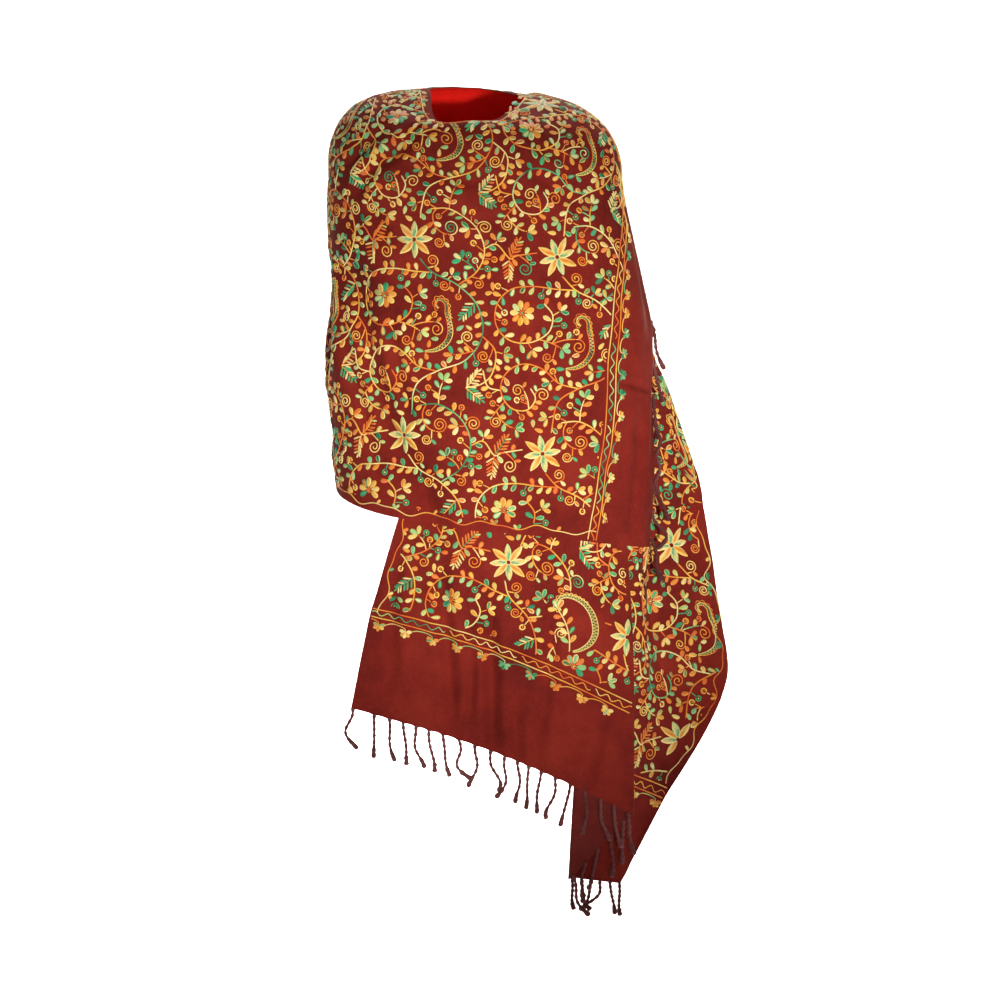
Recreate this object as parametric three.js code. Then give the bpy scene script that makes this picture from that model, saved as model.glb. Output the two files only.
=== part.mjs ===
// An oblong wool shawl, wound once round the shoulders and held in its worn, hollow form.
// Millimetres, +Z up, front towards -Y. The origin lies where the cloth rests on the shoulders at the neck.
//
// The shawl is one long sheet with a free end in front, outermost. From there it runs across the chest,
// round one arm, across the back, over the other shoulder and down under its own start, where its far end
// hangs in a knife pleat. Every stretch of that path is its own mesh, a wall of the cloth's thickness.
//
// Two coordinates place a point on the wound part. "turn" is the plan angle in degrees: 0 faces front,
// +90 the side at +X, 180 the back, -90 the side at -X. "drop" runs down the cloth: 0 at the neck rim,
// 1 where the shoulder has turned into the upright body, 2 at the hem.

import * as THREE from 'three';

// ---------------------------------------------------------------- driving dimensions

const WALL = 2;                // thickness of the cloth
const SEAM = 0.3;              // gap between two stretches of the same sheet
const LAYER = 6;               // spacing of the inner layer behind the outer one
const SECTION_POWER = 2.5;     // squareness of the plan sections: 2 is an ellipse
const SHOULDER_POWER = 2.4;    // squareness of the shoulder's profile
const FRINGE_LENGTH = 62;      // how far the tassels hang
const FRINGE_WALL = 3;         // thickness of the fringe's reach
const FRINGE_GAP = 0.8;        // how far below or beside the cloth's edge that reach begins
const EDGE_FRINGE_WIDTH = 18;  // width taken by tassels that hang down along an upright edge
const EDGE_FRINGE_START = 0.5; // where on the free end edge the hanging strip of tassels begins
const EDGE_SHARE = 0.86;       // share of that strip beside the edge, the rest hangs below its corner
const EDGE_HEADING = { high: 88, low: 36 }; // plan direction from the edge, in degrees from +X
const PLEAT_STEP = 8;          // spacing of the pleat's layers
const FOLD_INSET = 2;          // how far inside each fold the pleat's middle layer ends
const TROUGH_TURNS = { full: 70, none: 105 };   // turns between which the front's troughs fade out
const LAYER_TURNS = { outside: -120, inside: -185 }; // turns between which the sheet winds in by one layer
const FALL_TOP = 0.04;         // drop of the inner stretch's top edge, just under the outer one's rim

// Half widths and depths of the upright body by height.
const BODY = [
  { z: -60, left: -206, right: 203, front: 112, back: 112 },
  { z: -120, left: -207, right: 214, front: 124, back: 122 },
  { z: -200, left: -206, right: 231, front: 134, back: 126 },
  { z: -280, left: -204, right: 247, front: 138, back: 126 },
  { z: -340, left: -209, right: 260, front: 138, back: 122 },
  { z: -400, left: -211, right: 264, front: 137, back: 118 },
  { z: -470, left: -203, right: 265, front: 136, back: 117 },
  { z: -530, left: -203, right: 264, front: 138, back: 118 },
  { z: -600, left: -197, right: 262, front: 140, back: 120 },
  { z: -670, left: -190, right: 260, front: 142, back: 122 },
];

// Neck rim, the height where the shoulder becomes upright, and the hem, by turn.
const RIM = [
  { turn: -225, x: 44, y: 62, z: 20, ring: -125, hem: -545 },
  { turn: -180, x: 0, y: 80, z: 25, ring: -130, hem: -590 },
  { turn: -150, x: -35, y: 74, z: 23, ring: -122, hem: -592 },
  { turn: -120, x: -56, y: 48, z: 19, ring: -104, hem: -578 },
  { turn: -90, x: -62, y: 8, z: 16, ring: -92, hem: -562 },
  { turn: -70, x: -60, y: -32, z: 3, ring: -100, hem: -575 },
  { turn: -45, x: -57, y: -72, z: -22, ring: -130, hem: -592 },
  { turn: -22, x: -46, y: -94, z: -36, ring: -160, hem: -606 },
  { turn: 0, x: -10, y: -98, z: -38, ring: -170, hem: -620 },
  { turn: 25, x: 24, y: -94, z: -37, ring: -160, hem: -631 },
  { turn: 45, x: 41, y: -70, z: -24, ring: -140, hem: -640 },
  { turn: 68, x: 54, y: -34, z: -6, ring: -122, hem: -649 },
  { turn: 90, x: 60, y: 6, z: 6, ring: -116, hem: -648 },
  { turn: 112, x: 56, y: 40, z: 13, ring: -120, hem: -614 },
  { turn: 135, x: 44, y: 62, z: 20, ring: -125, hem: -545 },
];

// The outer stretch: where its end border and its free end edge run.
const FRONT_END = [
  { v: 0, seamTurn: 108, seamDrop: 0.06, endTurn: 142, endDrop: 0.62 },
  { v: 0.2, seamTurn: 100, seamDrop: 0.55, endTurn: 139, endDrop: 0.86 },
  { v: 0.4, seamTurn: 84, seamDrop: 1.0, endTurn: 127, endDrop: 1.06 },
  { v: 0.52, seamTurn: 60, seamDrop: 1.22, endTurn: 100, endDrop: 1.22 },
  { v: 0.63, seamTurn: 47, seamDrop: 1.41, endTurn: 87, endDrop: 1.41 },
  { v: 0.77, seamTurn: 42, seamDrop: 1.64, endTurn: 80.5, endDrop: 1.64 },
  { v: 0.9, seamTurn: 37.5, seamDrop: 1.85, endTurn: 78, endDrop: 1.84 },
  { v: 1, seamTurn: 33.5, seamDrop: 2.0, endTurn: 76, endDrop: 1.99 },
];

// The inner stretch: its left edge under the front wrap, by drop.
const FALL_EDGE = [
  { drop: 0.04, leftTurn: 62 },
  { drop: 0.5, leftTurn: 28 },
  { drop: 1.0, leftTurn: 0 },
  { drop: 1.4, leftTurn: -10 },
  { drop: 1.7, leftTurn: -19 },
  { drop: 2.0, leftTurn: -30 },
];

// How far the inner stretch swings out at the side, and the depth where it starts, by height.
const SWING = [
  { z: -300, reach: 0, fromY: 26 },
  { z: -377, reach: 32, fromY: 8 },
  { z: -435, reach: 52, fromY: 0 },
  { z: -493, reach: 69, fromY: -6 },
  { z: -537, reach: 83, fromY: -10 },
  { z: -590, reach: 96, fromY: -14 },
  { z: -650, reach: 102, fromY: -20 },
  { z: -720, reach: 110, fromY: -30 },
  { z: -838, reach: 126, fromY: -34 },
];
const SWING_DEPTH = 68;        // depth over which the swing grows to its full reach
const SWING_TURNS = { first: 60, full: 118, none: 165 }; // turns where it can start, and where it dies away
const BACK_TURN = 44;          // turn of the hidden fold at the top of the hanging end
const FOLD_TURN = 54;          // turn of the front fold at the top of the hanging end
const OUTER_EDGE_TURN = 105;   // turn of the hanging end's outer edge, where it swings furthest

// Hem of the inner stretch by turn: its free edge sweeps round the side, highest there.
const FALL_HEM = [
  { turn: 105, z: -590 },
  { turn: 109, z: -550 },
  { turn: 115, z: -527 },
  { turn: 123, z: -523 },
  { turn: 135, z: -545 },
];

// The hanging end, row by row: left edge, front fold, hidden fold and outer edge.
const HANGING = [
  { v: 0, leftX: -102, leftZ: -590, foldX: 212, foldZ: -590, backX: 195, backZ: -590,
    outX: 336, outY: 36, outZ: -590, front: 140, flat: 0 },
  { v: 0.24, leftX: -120, leftZ: -648, foldX: 222, foldZ: -698, backX: 178, backZ: -700,
    outX: 354, outY: 18, outZ: -700, front: 137, flat: 5 },
  { v: 0.48, leftX: -136, leftZ: -704, foldX: 227, foldZ: -800, backX: 160, backZ: -828,
    outX: 368, outY: -8, outZ: -836, front: 133, flat: 55 },
  { v: 0.64, leftX: -147, leftZ: -740, foldX: 228, foldZ: -882, backX: 149, backZ: -950,
    outX: 276, outY: -54, outZ: -1010, front: 129, flat: 90 },
  { v: 1, leftX: -175, leftZ: -875, foldX: 228, foldZ: -1027, backX: 139, backZ: -1117,
    outX: 212, outY: -84, outZ: -1127, front: 122, flat: 120 },
];
const BORDER_V = 0.64;         // the row where the embroidered field ends and the plain band begins
const HANGING_BOW = 16;        // how far the slanting rows bow up at their middle
const HELD_V = 0.24;           // down to this row the hanging end keeps the body's own depth
const TROUGH_ROWS = { full: 0.1, none: 0.3 };   // rows between which the troughs of the wrap die away
const LOOSE_ROWS = { wound: 0.29, hanging: 0.64 }; // rows between which the last layer leaves its wound form
const STEP_TURNS = 14;         // turns over which the last layer steps out past the pleat's front fold
const OUTWARD_FROM = { before: 20, after: 10 }; // where it turns outwards, about the front fold

// Large soft troughs of the front, as paths in the front view, with depth and half width.
const TROUGHS = [
  { name: 'chest sag', depth: 7, width: 17, path: [[-112, -84], [-62, -108], [10, -128], [70, -140]] },
  { name: 'long valley', depth: 9, width: 24,
    path: [[-176, -250], [-158, -350], [-142, -430], [-112, -496], [-72, -560], [-52, -630]] },
  { name: 'band valley', depth: 6, width: 20, path: [[226, -488], [214, -570], [206, -640]] },
];

const SLOTS = {
  field: { color: 0x7e1f1b, roughness: 0.85 },
  band: { color: 0x7a241d, roughness: 0.85 },
  fringe: { color: 0x5c2a28, roughness: 0.9 },
};

// ---------------------------------------------------------------- small maths

const mix = (a, b, t) => a + (b - a) * t;
const clamp = (x, low, high) => Math.min(Math.max(x, low), high);
const radians = (degrees) => (degrees * Math.PI) / 180;

function smoothstep(low, high, x) {
  const t = clamp((x - low) / (high - low), 0, 1);
  return t * t * (3 - 2 * t);
}

// A smooth curve through one column of a table: cubic Hermite pieces with the slope of the neighbours.
function column(table, key, name) {
  const rows = [...table].sort((a, b) => a[key] - b[key]);
  const xs = rows.map((row) => row[key]);
  const ys = rows.map((row) => row[name]);
  const last = xs.length - 1;
  const slopes = ys.map((_, i) => {
    const before = Math.max(i - 1, 0);
    const after = Math.min(i + 1, last);
    return (ys[after] - ys[before]) / (xs[after] - xs[before]);
  });
  return (x) => {
    const at = clamp(x, xs[0], xs[last]);
    let i = 0;
    while (i < last - 1 && at > xs[i + 1]) i += 1;
    const span = xs[i + 1] - xs[i];
    const t = (at - xs[i]) / span;
    const s = 1 - t;
    const startPart = s * s * (1 + 2 * t) * ys[i] + s * s * t * span * slopes[i];
    const endPart = t * t * (1 + 2 * s) * ys[i + 1] - t * t * s * span * slopes[i + 1];
    return startPart + endPart;
  };
}

function columns(table, key) {
  const names = Object.keys(table[0]).filter((name) => name !== key);
  return Object.fromEntries(names.map((name) => [name, column(table, key, name)]));
}

const body = columns(BODY, 'z');
const rim = columns(RIM, 'turn');
const frontEnd = columns(FRONT_END, 'v');
const fallEdge = column(FALL_EDGE, 'drop', 'leftTurn');
const swing = columns(SWING, 'z');
const fallHem = column(FALL_HEM, 'turn', 'z');
const hanging = columns(HANGING, 'v');

// ---------------------------------------------------------------- the wound part

// Distance in the front view from (x, z) to a path of points.
function distanceToPath(x, z, path) {
  let nearest = Infinity;
  for (let i = 0; i + 1 < path.length; i += 1) {
    const [ax, az] = path[i];
    const [bx, bz] = path[i + 1];
    const along = ((x - ax) * (bx - ax) + (z - az) * (bz - az)) / ((bx - ax) ** 2 + (bz - az) ** 2);
    const t = clamp(along, 0, 1);
    nearest = Math.min(nearest, Math.hypot(x - mix(ax, bx, t), z - mix(az, bz, t)));
  }
  return nearest;
}

// Depth of the troughs at a point of the front, as a negative offset.
function troughs(x, z) {
  let offset = 0;
  for (const { depth, width, path } of TROUGHS) {
    const near = distanceToPath(x, z, path) / width;
    offset -= depth * Math.exp(-near * near);
  }
  return offset;
}

// A plan section of the body at a height: a superellipse, grown outwards by an offset.
function section(turn, z, offset) {
  const centre = (body.left(z) + body.right(z)) / 2;
  const halfWidth = (body.right(z) - body.left(z)) / 2 + offset;
  const s = Math.sin(radians(turn));
  const c = Math.cos(radians(turn));
  const halfDepth = (c > 0 ? body.front(z) : body.back(z)) + offset;
  const power = 2 / SECTION_POWER;
  const x = centre + halfWidth * Math.sign(s) * Math.abs(s) ** power;
  const y = -halfDepth * Math.sign(c) * Math.abs(c) ** power;
  return [x, y, z];
}

// A point of the wound cloth. Above the ring it is a rounded shoulder from the rim, below it upright.
function woundAt(turn, drop, hem, offset) {
  const ring = rim.ring(turn);
  if (drop >= 1) return section(turn, mix(ring, hem, drop - 1), offset);
  const [ringX, ringY] = section(turn, ring, offset);
  const angle = radians(90 * drop);
  const across = Math.sin(angle) ** (2 / SHOULDER_POWER);
  const down = 1 - Math.cos(angle) ** (2 / SHOULDER_POWER);
  return [
    mix(rim.x(turn), ringX, across),
    mix(rim.y(turn), ringY, across),
    mix(rim.z(turn) + offset, ring, down),
  ];
}

function wound(turn, drop, hem, offset) {
  const plain = woundAt(turn, drop, hem, offset);
  const facing = smoothstep(TROUGH_TURNS.none, TROUGH_TURNS.full, Math.abs(turn));
  return facing > 0 ? woundAt(turn, drop, hem, offset + facing * troughs(plain[0], plain[2])) : plain;
}

// The sheet winds inwards: across the back it moves in by one layer.
const layerOffset = (turn) => -LAYER * smoothstep(LAYER_TURNS.outside, LAYER_TURNS.inside, turn);

const outer = (turn, drop) => wound(turn, drop, rim.hem(turn), layerOffset(turn));

// Sideways swing of the inner layers at a turn, a depth and a height.
function swingAt(turn, y, z) {
  if (turn < SWING_TURNS.first) return 0;
  const start = smoothstep(swing.fromY(z), swing.fromY(z) + SWING_DEPTH, y);
  const end = smoothstep(SWING_TURNS.none, SWING_TURNS.full, turn);
  return swing.reach(z) * start * end;
}

// The inner stretch lies one layer in, and swings out at the side past the outer stretch's end.
function inner(turn, drop) {
  const [x, y, z] = wound(turn, drop, fallHem(turn), -LAYER);
  return [x + swingAt(turn, y, z), y, z];
}

// ---------------------------------------------------------------- the hanging end

// Depth of the hanging layers at x: the body's section, flattening downwards, moved in by an offset.
function hangingY(x, v, z, offset) {
  const held = Math.max(z, BODY[BODY.length - 1].z);
  const centre = (body.left(held) + body.right(held)) / 2;
  const moved = offset + troughs(x, z) * smoothstep(TROUGH_ROWS.none, TROUGH_ROWS.full, v);
  const halfWidth = (body.right(held) - body.left(held)) / 2 + hanging.flat(v) + moved;
  const halfDepth = mix(body.front(held), hanging.front(v), smoothstep(0, HELD_V, v)) + moved;
  const share = Math.min(Math.abs((x - centre) / halfWidth), 0.995);
  return -halfDepth * (1 - share ** SECTION_POWER) ** (1 / SECTION_POWER);
}

// The front layer: slanting rows, bowed up at their middle.
function hangingFront(u, v) {
  const x = mix(hanging.leftX(v), hanging.foldX(v), u);
  const bow = HANGING_BOW * Math.sin(Math.PI * u) * smoothstep(0, BORDER_V, v);
  const z = mix(hanging.leftZ(v), hanging.foldZ(v), u) + bow - SEAM;
  return [x, hangingY(x, v, z, -LAYER), z];
}

// The middle layer runs from behind the front fold back to the hidden fold.
function pleatReturn(u, v) {
  const x = mix(hanging.foldX(v) - FOLD_INSET, hanging.backX(v) + FOLD_INSET, u);
  const z = mix(hanging.foldZ(v), hanging.backZ(v), u) - SEAM;
  return [x, hangingY(x, v, z, -LAYER - PLEAT_STEP), z];
}

// The last layer runs from the hidden fold out to the outer edge. It starts two steps in. At the top it is
// wound like the stretch above it, and lower down it hangs flat and straight out to its edge.
function sideFall(u, v) {
  const deepest = -LAYER - 2 * PLEAT_STEP;
  const z = mix(hanging.backZ(v), hanging.outZ(v), u) - 2 * SEAM;
  const x = mix(hanging.backX(v), hanging.outX(v), u);
  const foldX = hanging.foldX(v);
  const outward = smoothstep(
    foldX - OUTWARD_FROM.before,
    Math.max(hanging.outX(v), foldX + OUTWARD_FROM.after),
    x,
  );
  const y = mix(hangingY(x, v, z, deepest), hanging.outY(v), outward);
  const held = Math.max(z, BODY[BODY.length - 1].z);
  const turn = mix(BACK_TURN, OUTER_EDGE_TURN, u);
  const stepOut = smoothstep(FOLD_TURN, FOLD_TURN + STEP_TURNS, turn);
  const offset = mix(deepest, -LAYER, stepOut);
  const [plainX] = section(turn, held, offset);
  const [woundX, woundY] = section(turn, held, offset + troughs(plainX, z));
  const swung = woundX + swingAt(turn, woundY, z);
  const hangs = smoothstep(LOOSE_ROWS.wound, LOOSE_ROWS.hanging, v);
  return [mix(swung, x, hangs), mix(woundY, y, hangs), z];
}

// ---------------------------------------------------------------- walls and fringes

// A closed wall of a given thickness about a surface: two faces and four rims.
// The surface is a function of u across and v down, both from 0 to 1.
function wallMesh(name, surface, across, down, slot, thickness = WALL) {
  const grid = [];
  for (let j = 0; j <= down; j += 1) {
    const row = [];
    for (let i = 0; i <= across; i += 1) row.push(new THREE.Vector3(...surface(i / across, j / down)));
    grid.push(row);
  }
  const positions = [];
  for (const side of [0.5, -0.5]) {
    for (let j = 0; j <= down; j += 1) {
      for (let i = 0; i <= across; i += 1) {
        const right = grid[j][Math.min(i + 1, across)].clone().sub(grid[j][Math.max(i - 1, 0)]);
        const below = grid[Math.min(j + 1, down)][i].clone().sub(grid[Math.max(j - 1, 0)][i]);
        const normal = below.cross(right).normalize();
        positions.push(...grid[j][i].clone().addScaledVector(normal, side * thickness));
      }
    }
  }
  const width = across + 1;
  const sheet = width * (down + 1);
  const at = (i, j, face) => face * sheet + j * width + i;
  const indices = [];
  const quad = (a, b, c, d) => indices.push(a, b, c, a, c, d);
  for (let j = 0; j < down; j += 1) {
    for (let i = 0; i < across; i += 1) {
      quad(at(i, j, 0), at(i, j + 1, 0), at(i + 1, j + 1, 0), at(i + 1, j, 0));
      quad(at(i, j, 1), at(i + 1, j, 1), at(i + 1, j + 1, 1), at(i, j + 1, 1));
    }
    quad(at(0, j, 0), at(0, j, 1), at(0, j + 1, 1), at(0, j + 1, 0));
    quad(at(across, j, 0), at(across, j + 1, 0), at(across, j + 1, 1), at(across, j, 1));
  }
  for (let i = 0; i < across; i += 1) {
    quad(at(i, 0, 0), at(i + 1, 0, 0), at(i + 1, 0, 1), at(i, 0, 1));
    quad(at(i, down, 0), at(i, down, 1), at(i + 1, down, 1), at(i + 1, down, 0));
  }
  const geometry = new THREE.BufferGeometry();
  geometry.setAttribute('position', new THREE.Float32BufferAttribute(positions, 3));
  geometry.setIndex(indices);
  geometry.computeVertexNormals();
  const material = new THREE.MeshStandardMaterial({ ...SLOTS[slot], metalness: 0 });
  const mesh = new THREE.Mesh(geometry, material);
  mesh.name = name;
  return mesh;
}

// Part of a surface, between two values of u and two of v.
const part = (surface, u0, u1, v0, v1) => (u, v) => surface(mix(u0, u1, u), mix(v0, v1, v));

// A fringe hangs straight down from the last row of a surface, just below its edge.
function hangingFringe(surface, u0, u1) {
  return (u, v) => {
    const [x, y, z] = surface(mix(u0, u1, u), 1);
    return [x, y, z - FRINGE_GAP - v * FRINGE_LENGTH];
  };
}

// The front end's tassels hang down along its upright edge, in a strip just outside it. High up the strip
// follows the round of the shoulder to the back. Lower down it lies on the inner stretch's swing.
function edgeFringe(u, v) {
  const share = Math.min(v / EDGE_SHARE, 1);
  const [edgeX, edgeY, edgeZ] = frontBand(1, mix(EDGE_FRINGE_START, 1, share));
  const below = Math.max(v - EDGE_SHARE, 0) / (1 - EDGE_SHARE) * FRINGE_LENGTH;
  const heading = radians(mix(EDGE_HEADING.high, EDGE_HEADING.low, smoothstep(-330, -470, edgeZ)));
  const out = 2 * FRINGE_GAP + u * EDGE_FRINGE_WIDTH;
  return [edgeX + out * Math.cos(heading), edgeY + out * Math.sin(heading), edgeZ - below];
}

// ---------------------------------------------------------------- the stretches

const FRONT_LEFT_TURN = -68;   // seam between the front wrap and the arm wrap
const BACK_LEFT_TURN = -116;   // seam between the arm wrap and the back wrap
const BACK_RIGHT_TURN = -225;  // seam between the back wrap and the shoulder fall
const SEAM_TURN = 0.1;         // half the seam's gap, in degrees of turn
const BACK_SEAM_TURN = 0.16;   // the same at the back seam, where the two walls meet at a slight angle
const SEAM_SHARE = 0.0005;     // half the seam's gap, as a share of a row

const shawl = new THREE.Group();
shawl.name = 'embroidered_shawl';

// Outer stretch from the arm seam to the end border.
const frontWrap = (u, v) => {
  const turn = mix(FRONT_LEFT_TURN + SEAM_TURN, frontEnd.seamTurn(v) - SEAM_TURN, u);
  const evenDrop = 2 * v;
  const drop = mix(evenDrop, frontEnd.seamDrop(v), smoothstep(0.4, 1, u));
  return outer(turn, drop);
};
shawl.add(wallMesh('front_wrap', frontWrap, 22, 22, 'field'));

// Outer stretch from the end border to the free end edge.
const frontBand = (u, v) => outer(
  mix(frontEnd.seamTurn(v) + SEAM_TURN, frontEnd.endTurn(v), u),
  mix(frontEnd.seamDrop(v), frontEnd.endDrop(v), u),
);
shawl.add(wallMesh('front_end_band', frontBand, 10, 22, 'band'));

// Round the arm at -X, then across the back, moving in by one layer.
const stretch = (turn0, turn1) => (u, v) => outer(mix(turn0, turn1, u), 2 * v);
const armWrap = stretch(BACK_LEFT_TURN + SEAM_TURN, FRONT_LEFT_TURN - SEAM_TURN);
const backWrap = stretch(BACK_RIGHT_TURN + BACK_SEAM_TURN, BACK_LEFT_TURN - SEAM_TURN);
shawl.add(wallMesh('arm_wrap', armWrap, 9, 22, 'field'));
shawl.add(wallMesh('back_wrap', backWrap, 14, 22, 'field'));

// Inner stretch, from its left edge under the front wrap round to the back seam.
const shoulderFall = (u, v) => {
  const drop = mix(FALL_TOP, 2, v);
  const rearDrop = 2 * v;
  const turn = mix(fallEdge(drop), BACK_RIGHT_TURN + 360 - BACK_SEAM_TURN, u);
  return inner(turn, mix(drop, rearDrop, smoothstep(0.6, 1, u)));
};
shawl.add(wallMesh('shoulder_fall', shoulderFall, 22, 20, 'field'));

// The hanging end and its knife pleat.
shawl.add(wallMesh('hanging_front', part(hangingFront, 0, 1, 0, BORDER_V - SEAM_SHARE), 18, 7, 'field'));
shawl.add(wallMesh('hanging_band', part(hangingFront, 0, 1, BORDER_V + SEAM_SHARE, 1), 14, 4, 'band'));
shawl.add(wallMesh('pleat_return', pleatReturn, 4, 10, 'field'));
shawl.add(wallMesh('side_fall', part(sideFall, 0, 1, 0, BORDER_V - SEAM_SHARE), 14, 10, 'field'));
shawl.add(wallMesh('side_band', part(sideFall, 0, 1, BORDER_V + SEAM_SHARE, 1), 8, 4, 'band'));

// Fringes.
shawl.add(wallMesh('hanging_fringe', hangingFringe(hangingFront, 0, 1), 14, 1, 'fringe', FRINGE_WALL));
shawl.add(wallMesh('pleat_fringe', hangingFringe(pleatReturn, 0.1, 0.9), 3, 1, 'fringe', FRINGE_WALL));
shawl.add(wallMesh('side_fringe', hangingFringe(sideFall, 0, 1), 4, 1, 'fringe', FRINGE_WALL));
shawl.add(wallMesh('front_end_fringe', edgeFringe, 1, 14, 'fringe', FRINGE_WALL));

export default shawl;
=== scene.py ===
# %% [markdown]
# # An embroidered wool shawl, in the form it is worn in
#
# The shawl is one oblong of fine maroon wool, about 0.7 m wide and 2 m long. Vines in chain stitch cover
# its whole field, each short end is plain, and the end threads are twisted into a fringe. It is wound once
# round the shoulders with nobody in it: the first end lies outermost across the chest, the cloth goes round
# one arm and across the back, comes over the other shoulder, and hangs down under its own start in a knife
# pleat.
#
# The order of work is the tailor's: first the form, then the cloth, then the needlework on the cloth, then
# the fringe, and last the light. Lengths are in millimetres until a mesh is made, where they turn into
# metres.

import math

import bpy
import numpy as np
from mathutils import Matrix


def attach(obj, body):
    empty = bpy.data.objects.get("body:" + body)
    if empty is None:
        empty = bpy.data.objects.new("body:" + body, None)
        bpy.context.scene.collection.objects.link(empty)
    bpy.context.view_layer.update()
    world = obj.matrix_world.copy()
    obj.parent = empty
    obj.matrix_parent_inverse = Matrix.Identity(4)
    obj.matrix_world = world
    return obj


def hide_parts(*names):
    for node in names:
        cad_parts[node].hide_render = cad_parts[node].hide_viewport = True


MM = 0.001
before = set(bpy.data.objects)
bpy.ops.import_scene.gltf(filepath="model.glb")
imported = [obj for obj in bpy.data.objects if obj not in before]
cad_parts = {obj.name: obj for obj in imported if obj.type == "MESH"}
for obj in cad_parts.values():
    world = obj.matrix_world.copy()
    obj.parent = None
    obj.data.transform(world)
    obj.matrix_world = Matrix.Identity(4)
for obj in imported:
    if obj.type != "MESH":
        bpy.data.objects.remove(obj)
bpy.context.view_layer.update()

# %% [markdown]
# ## Small maths
#
# A form like this is easiest to steer with short tables: a few heights, and the widths there. A smooth
# curve through each column of a table then gives the value at any height. The curve is made of cubic
# Hermite pieces, each with the slope of its neighbours, so it never wobbles far from the numbers in the
# table.

# %% Curves through tables
def mix(a, b, t):
    """From a at t = 0 to b at t = 1."""
    return a + (b - a) * t


def smoothstep(low, high, x):
    """0 below low, 1 above high, and a soft S between them: t * t * (3 - 2 t)."""
    t = np.clip((x - low) / (high - low), 0, 1)
    return t * t * (3 - 2 * t)


def curve(xs, ys):
    """A function through the points (xs, ys): on each piece, Hermite's four weights of two values and two
    slopes."""
    order = np.argsort(xs)
    xs, ys = np.asarray(xs, float)[order], np.asarray(ys, float)[order]
    last = len(xs) - 1
    before, after = np.maximum(np.arange(last + 1) - 1, 0), np.minimum(np.arange(last + 1) + 1, last)
    slopes = (ys[after] - ys[before]) / (xs[after] - xs[before])

    def at(x):
        x = np.clip(x, xs[0], xs[-1])
        i = np.clip(np.searchsorted(xs, x, side="left") - 1, 0, last - 1)
        span = xs[i + 1] - xs[i]
        t = (x - xs[i]) / span
        s = 1 - t
        start = s * s * (1 + 2 * t) * ys[i] + s * s * t * span * slopes[i]
        end = t * t * (1 + 2 * s) * ys[i + 1] - t * t * s * span * slopes[i + 1]
        return start + end

    return at


def curves(names, *rows):
    """Functions of the first column, one for each other column, by name."""
    names = names.split()
    columns = np.array(rows, float).T
    return {name: curve(columns[0], column) for name, column in zip(names[1:], columns[1:])}


def unit(v):
    """Vectors scaled to length 1."""
    return v / np.maximum(np.linalg.norm(v, axis=-1, keepdims=True), 1e-9)


def toward(angle):
    """Flat unit vectors at angles in radians."""
    return np.stack([np.cos(angle), np.sin(angle)], -1)


def heading_of(step):
    """Angle of a flat vector."""
    return np.arctan2(step[1], step[0])


def lengths_along(line):
    """Length from the start of a line of points to each of them."""
    return np.concatenate([[0], np.cumsum(np.linalg.norm(np.diff(line, axis=0), axis=1))])


# %% [markdown]
# ## The form of the wound cloth
#
# Two coordinates place a point on the wound part. "turn" is the plan angle in degrees: 0 is the front, +90
# the side where the end hangs, 180 the back, -90 the other arm. "drop" runs down the cloth: 0 at the neck,
# 1 where the shoulder has become the upright body, 2 at the hem. The plan section is a superellipse, a
# squarer cousin of the ellipse, because shoulders and arms under cloth make a rounded box. These are the
# same tables as the solid model's, so the thin visible cloth lies on its walls.

# %% Tables of the form
LAYER = 6
SECTION_POWER = 2.5
SHOULDER_POWER = 2.4
PLEAT_STEP = 8
BORDER_V = 0.64
HELD_Z = -670
BODY = curves(
    "z left right front back",
    (-60, -206, 203, 112, 112),
    (-120, -207, 214, 124, 122),
    (-200, -206, 231, 134, 126),
    (-280, -204, 247, 138, 126),
    (-340, -209, 260, 138, 122),
    (-400, -211, 264, 137, 118),
    (-470, -203, 265, 136, 117),
    (-530, -203, 264, 138, 118),
    (-600, -197, 262, 140, 120),
    (-670, -190, 260, 142, 122),
)
RIM = curves(
    "turn x y z ring hem",
    (-225, 44, 62, 20, -125, -545),
    (-180, 0, 80, 25, -130, -590),
    (-150, -35, 74, 23, -122, -592),
    (-120, -56, 48, 19, -104, -578),
    (-90, -62, 8, 16, -92, -562),
    (-70, -60, -32, 3, -100, -575),
    (-45, -57, -72, -22, -130, -592),
    (-22, -46, -94, -36, -160, -606),
    (0, -10, -98, -38, -170, -620),
    (25, 24, -94, -37, -160, -631),
    (45, 41, -70, -24, -140, -640),
    (68, 54, -34, -6, -122, -649),
    (90, 60, 6, 6, -116, -648),
    (112, 56, 40, 13, -120, -614),
    (135, 44, 62, 20, -125, -545),
)
FRONT_END = curves(
    "v seam_turn seam_drop end_turn end_drop",
    (0, 108, 0.06, 142, 0.62),
    (0.2, 100, 0.55, 139, 0.86),
    (0.4, 84, 1.0, 127, 1.06),
    (0.52, 60, 1.22, 100, 1.22),
    (0.63, 47, 1.41, 87, 1.41),
    (0.77, 42, 1.64, 80.5, 1.64),
    (0.9, 37.5, 1.85, 78, 1.84),
    (1, 33.5, 2.0, 76, 1.99),
)
FALL_EDGE = curves("drop turn", (0.04, 62), (0.5, 28), (1.0, 0), (1.4, -10), (1.7, -19), (2.0, -30))["turn"]
SWING = curves(
    "z reach from_y",
    (-300, 0, 26),
    (-377, 32, 8),
    (-435, 52, 0),
    (-493, 69, -6),
    (-537, 83, -10),
    (-590, 96, -14),
    (-650, 102, -20),
    (-720, 110, -30),
    (-838, 126, -34),
)
FALL_HEM = curves("turn z", (105, -590), (109, -550), (115, -527), (123, -523), (135, -545))["z"]
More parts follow.
